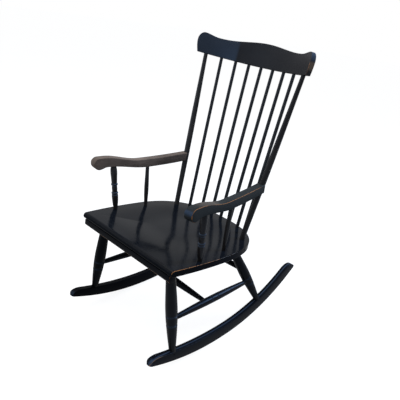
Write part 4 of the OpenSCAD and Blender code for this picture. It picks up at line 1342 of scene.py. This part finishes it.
coat_piece(make_seat(), seat_paint, "seat_paint", "seat")
coat_piece(make_strip(), cross_paint, "paint", "front_strip")
coat_piece(make_crest(), crest_paint, "paint", "crest_rail")
for which in (1, -1):
    near, hand = which > 0, side_name(which)
    # Each side takes its copy of the black, which holds the light and shade painted for that side
    upright_paint = near_upright_paint if near else far_upright_paint
    coat_piece(make_post(which), upright_paint, "paint", hand + "_post")
    coat_piece(make_arm(which), near_arm_paint if near else far_arm_paint, "worn_paint", hand + "_arm")
    coat_piece(make_arm_post(which), upright_paint, "paint", hand + "_arm_post")
    coat_piece(make_arm_spindle(which), upright_paint, "paint", hand + "_arm_spindle")
    coat_piece(make_runner(which), near_runner_paint if near else far_lying_shade_paint, "paint",
               hand + "_runner")
    coat_piece(make_leg(True, which), leg_paint if near else far_leg_shade_paint, "paint",
               "front_" + hand + "_leg")
    coat_piece(make_leg(False, which), rear_leg_shade_paint if near else far_leg_shade_paint, "paint",
               "rear_" + hand + "_leg")
for number in range(1, SPINDLES + 1):
    coat_piece(make_spindle(number), spindle_paint, "paint", f"spindle_{number}")
for node_name, rod in make_stretchers().items():
    rod_paint = lying_paint if "side" in node_name else cross_paint
    coat_piece(rod, rod_paint, "paint", node_name)
# The pegs stay as drawn, with the legs' paint
for node_name in ("arm_pegs", "foot_pegs"):
    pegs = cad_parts[node_name]
    pegs.data.materials.clear()
    pegs.data.materials.append(leg_paint)

# The room
FLOOR_WIDE = 60
FLOOR_GREY = (0.2, 0.2, 0.2, 1)
FLOOR_GLOW = 0.89
WHITE = (1, 1, 1, 1)
SKY_LIGHT = (0.93, 0.96, 1.0, 1)
SKY_STRENGTH = 0.55


def seen_by_eye(tree):
    """1 for what the camera sees itself or in a gloss or glass, 0 for the light that falls."""
    rays = add(tree, "ShaderNodeLightPath")
    seen = sums(tree, "MAXIMUM", rays.outputs["Is Camera Ray"], rays.outputs["Is Glossy Ray"])
    return sums(tree, "MAXIMUM", seen, rays.outputs["Is Transmission Ray"])


def light_world():
    """White to the eye, a soft sky to the chair."""
    world = bpy.data.worlds.new("studio")
    bpy.context.scene.world = world
    world.use_nodes = True
    tree = world.node_tree
    tree.nodes.clear()
    out = add(tree, "ShaderNodeOutputWorld")
    both = add(tree, "ShaderNodeMixShader")
    light = add(tree, "ShaderNodeBackground", Color=SKY_LIGHT, Strength=SKY_STRENGTH)
    white = add(tree, "ShaderNodeBackground", Color=WHITE, Strength=1.0)
    link(tree, seen_by_eye(tree), both.inputs[0])
    link(tree, light.outputs[0], both.inputs[1])
    link(tree, white.outputs[0], both.inputs[2])
    link(tree, both.outputs[0], out.inputs["Surface"])


def lay_floor():
    """A pale floor that glows to the eye, so that it is white but for the chair's shadow."""
    empty_hands()
    bpy.ops.mesh.primitive_plane_add(size=FLOOR_WIDE, location=(0, 0, 0))
    floor = bpy.context.object
    floor.name = "floor"
    cloth = bpy.data.materials.new("pale_floor")
    cloth.use_nodes = True
    tree = cloth.node_tree
    tree.nodes.clear()
    out = add(tree, "ShaderNodeOutputMaterial")
    matte = add(tree, "ShaderNodeBsdfDiffuse", Color=FLOOR_GREY)
    glow = add(tree, "ShaderNodeEmission", Color=WHITE)
    both = add(tree, "ShaderNodeAddShader")
    link(tree, to_range(tree, seen_by_eye(tree), 0, 1, 0.0, FLOOR_GLOW), glow.inputs["Strength"])
    link(tree, matte.outputs[0], both.inputs[0])
    link(tree, glow.outputs[0], both.inputs[1])
    link(tree, both.outputs[0], out.inputs["Surface"])
    floor.data.materials.append(cloth)


def hang_lamp(name, place, target, size, power, colour):
    data = bpy.data.lights.new(name, "AREA")
    data.shape = "RECTANGLE"
    data.size, data.size_y = size
    data.energy = power
    data.color = colour
    lamp = bpy.data.objects.new(name, data)
    bpy.context.scene.collection.objects.link(lamp)
    lamp.location = place
    lamp.rotation_euler = (Vector(target) - Vector(place)).to_track_quat("-Z", "Y").to_euler()


light_world()
lay_floor()
hang_lamp("overhead", place=(-0.6, -0.4, 3.2), target=(0, 0, 0.4), size=(2.6, 2.6), power=60,
          colour=(1.0, 0.99, 0.97))
hang_lamp("sky_side", place=(1.3, 2.4, 2.2), target=(0, 0, 0.5), size=(1.0, 1.0), power=90,
          colour=(0.50, 0.70, 1.0))
hang_lamp("front_fill", place=(-1.8, -2.4, 1.6), target=(0, 0, 0.5), size=(1.6, 1.6), power=18,
          colour=(0.9, 0.95, 1.0))
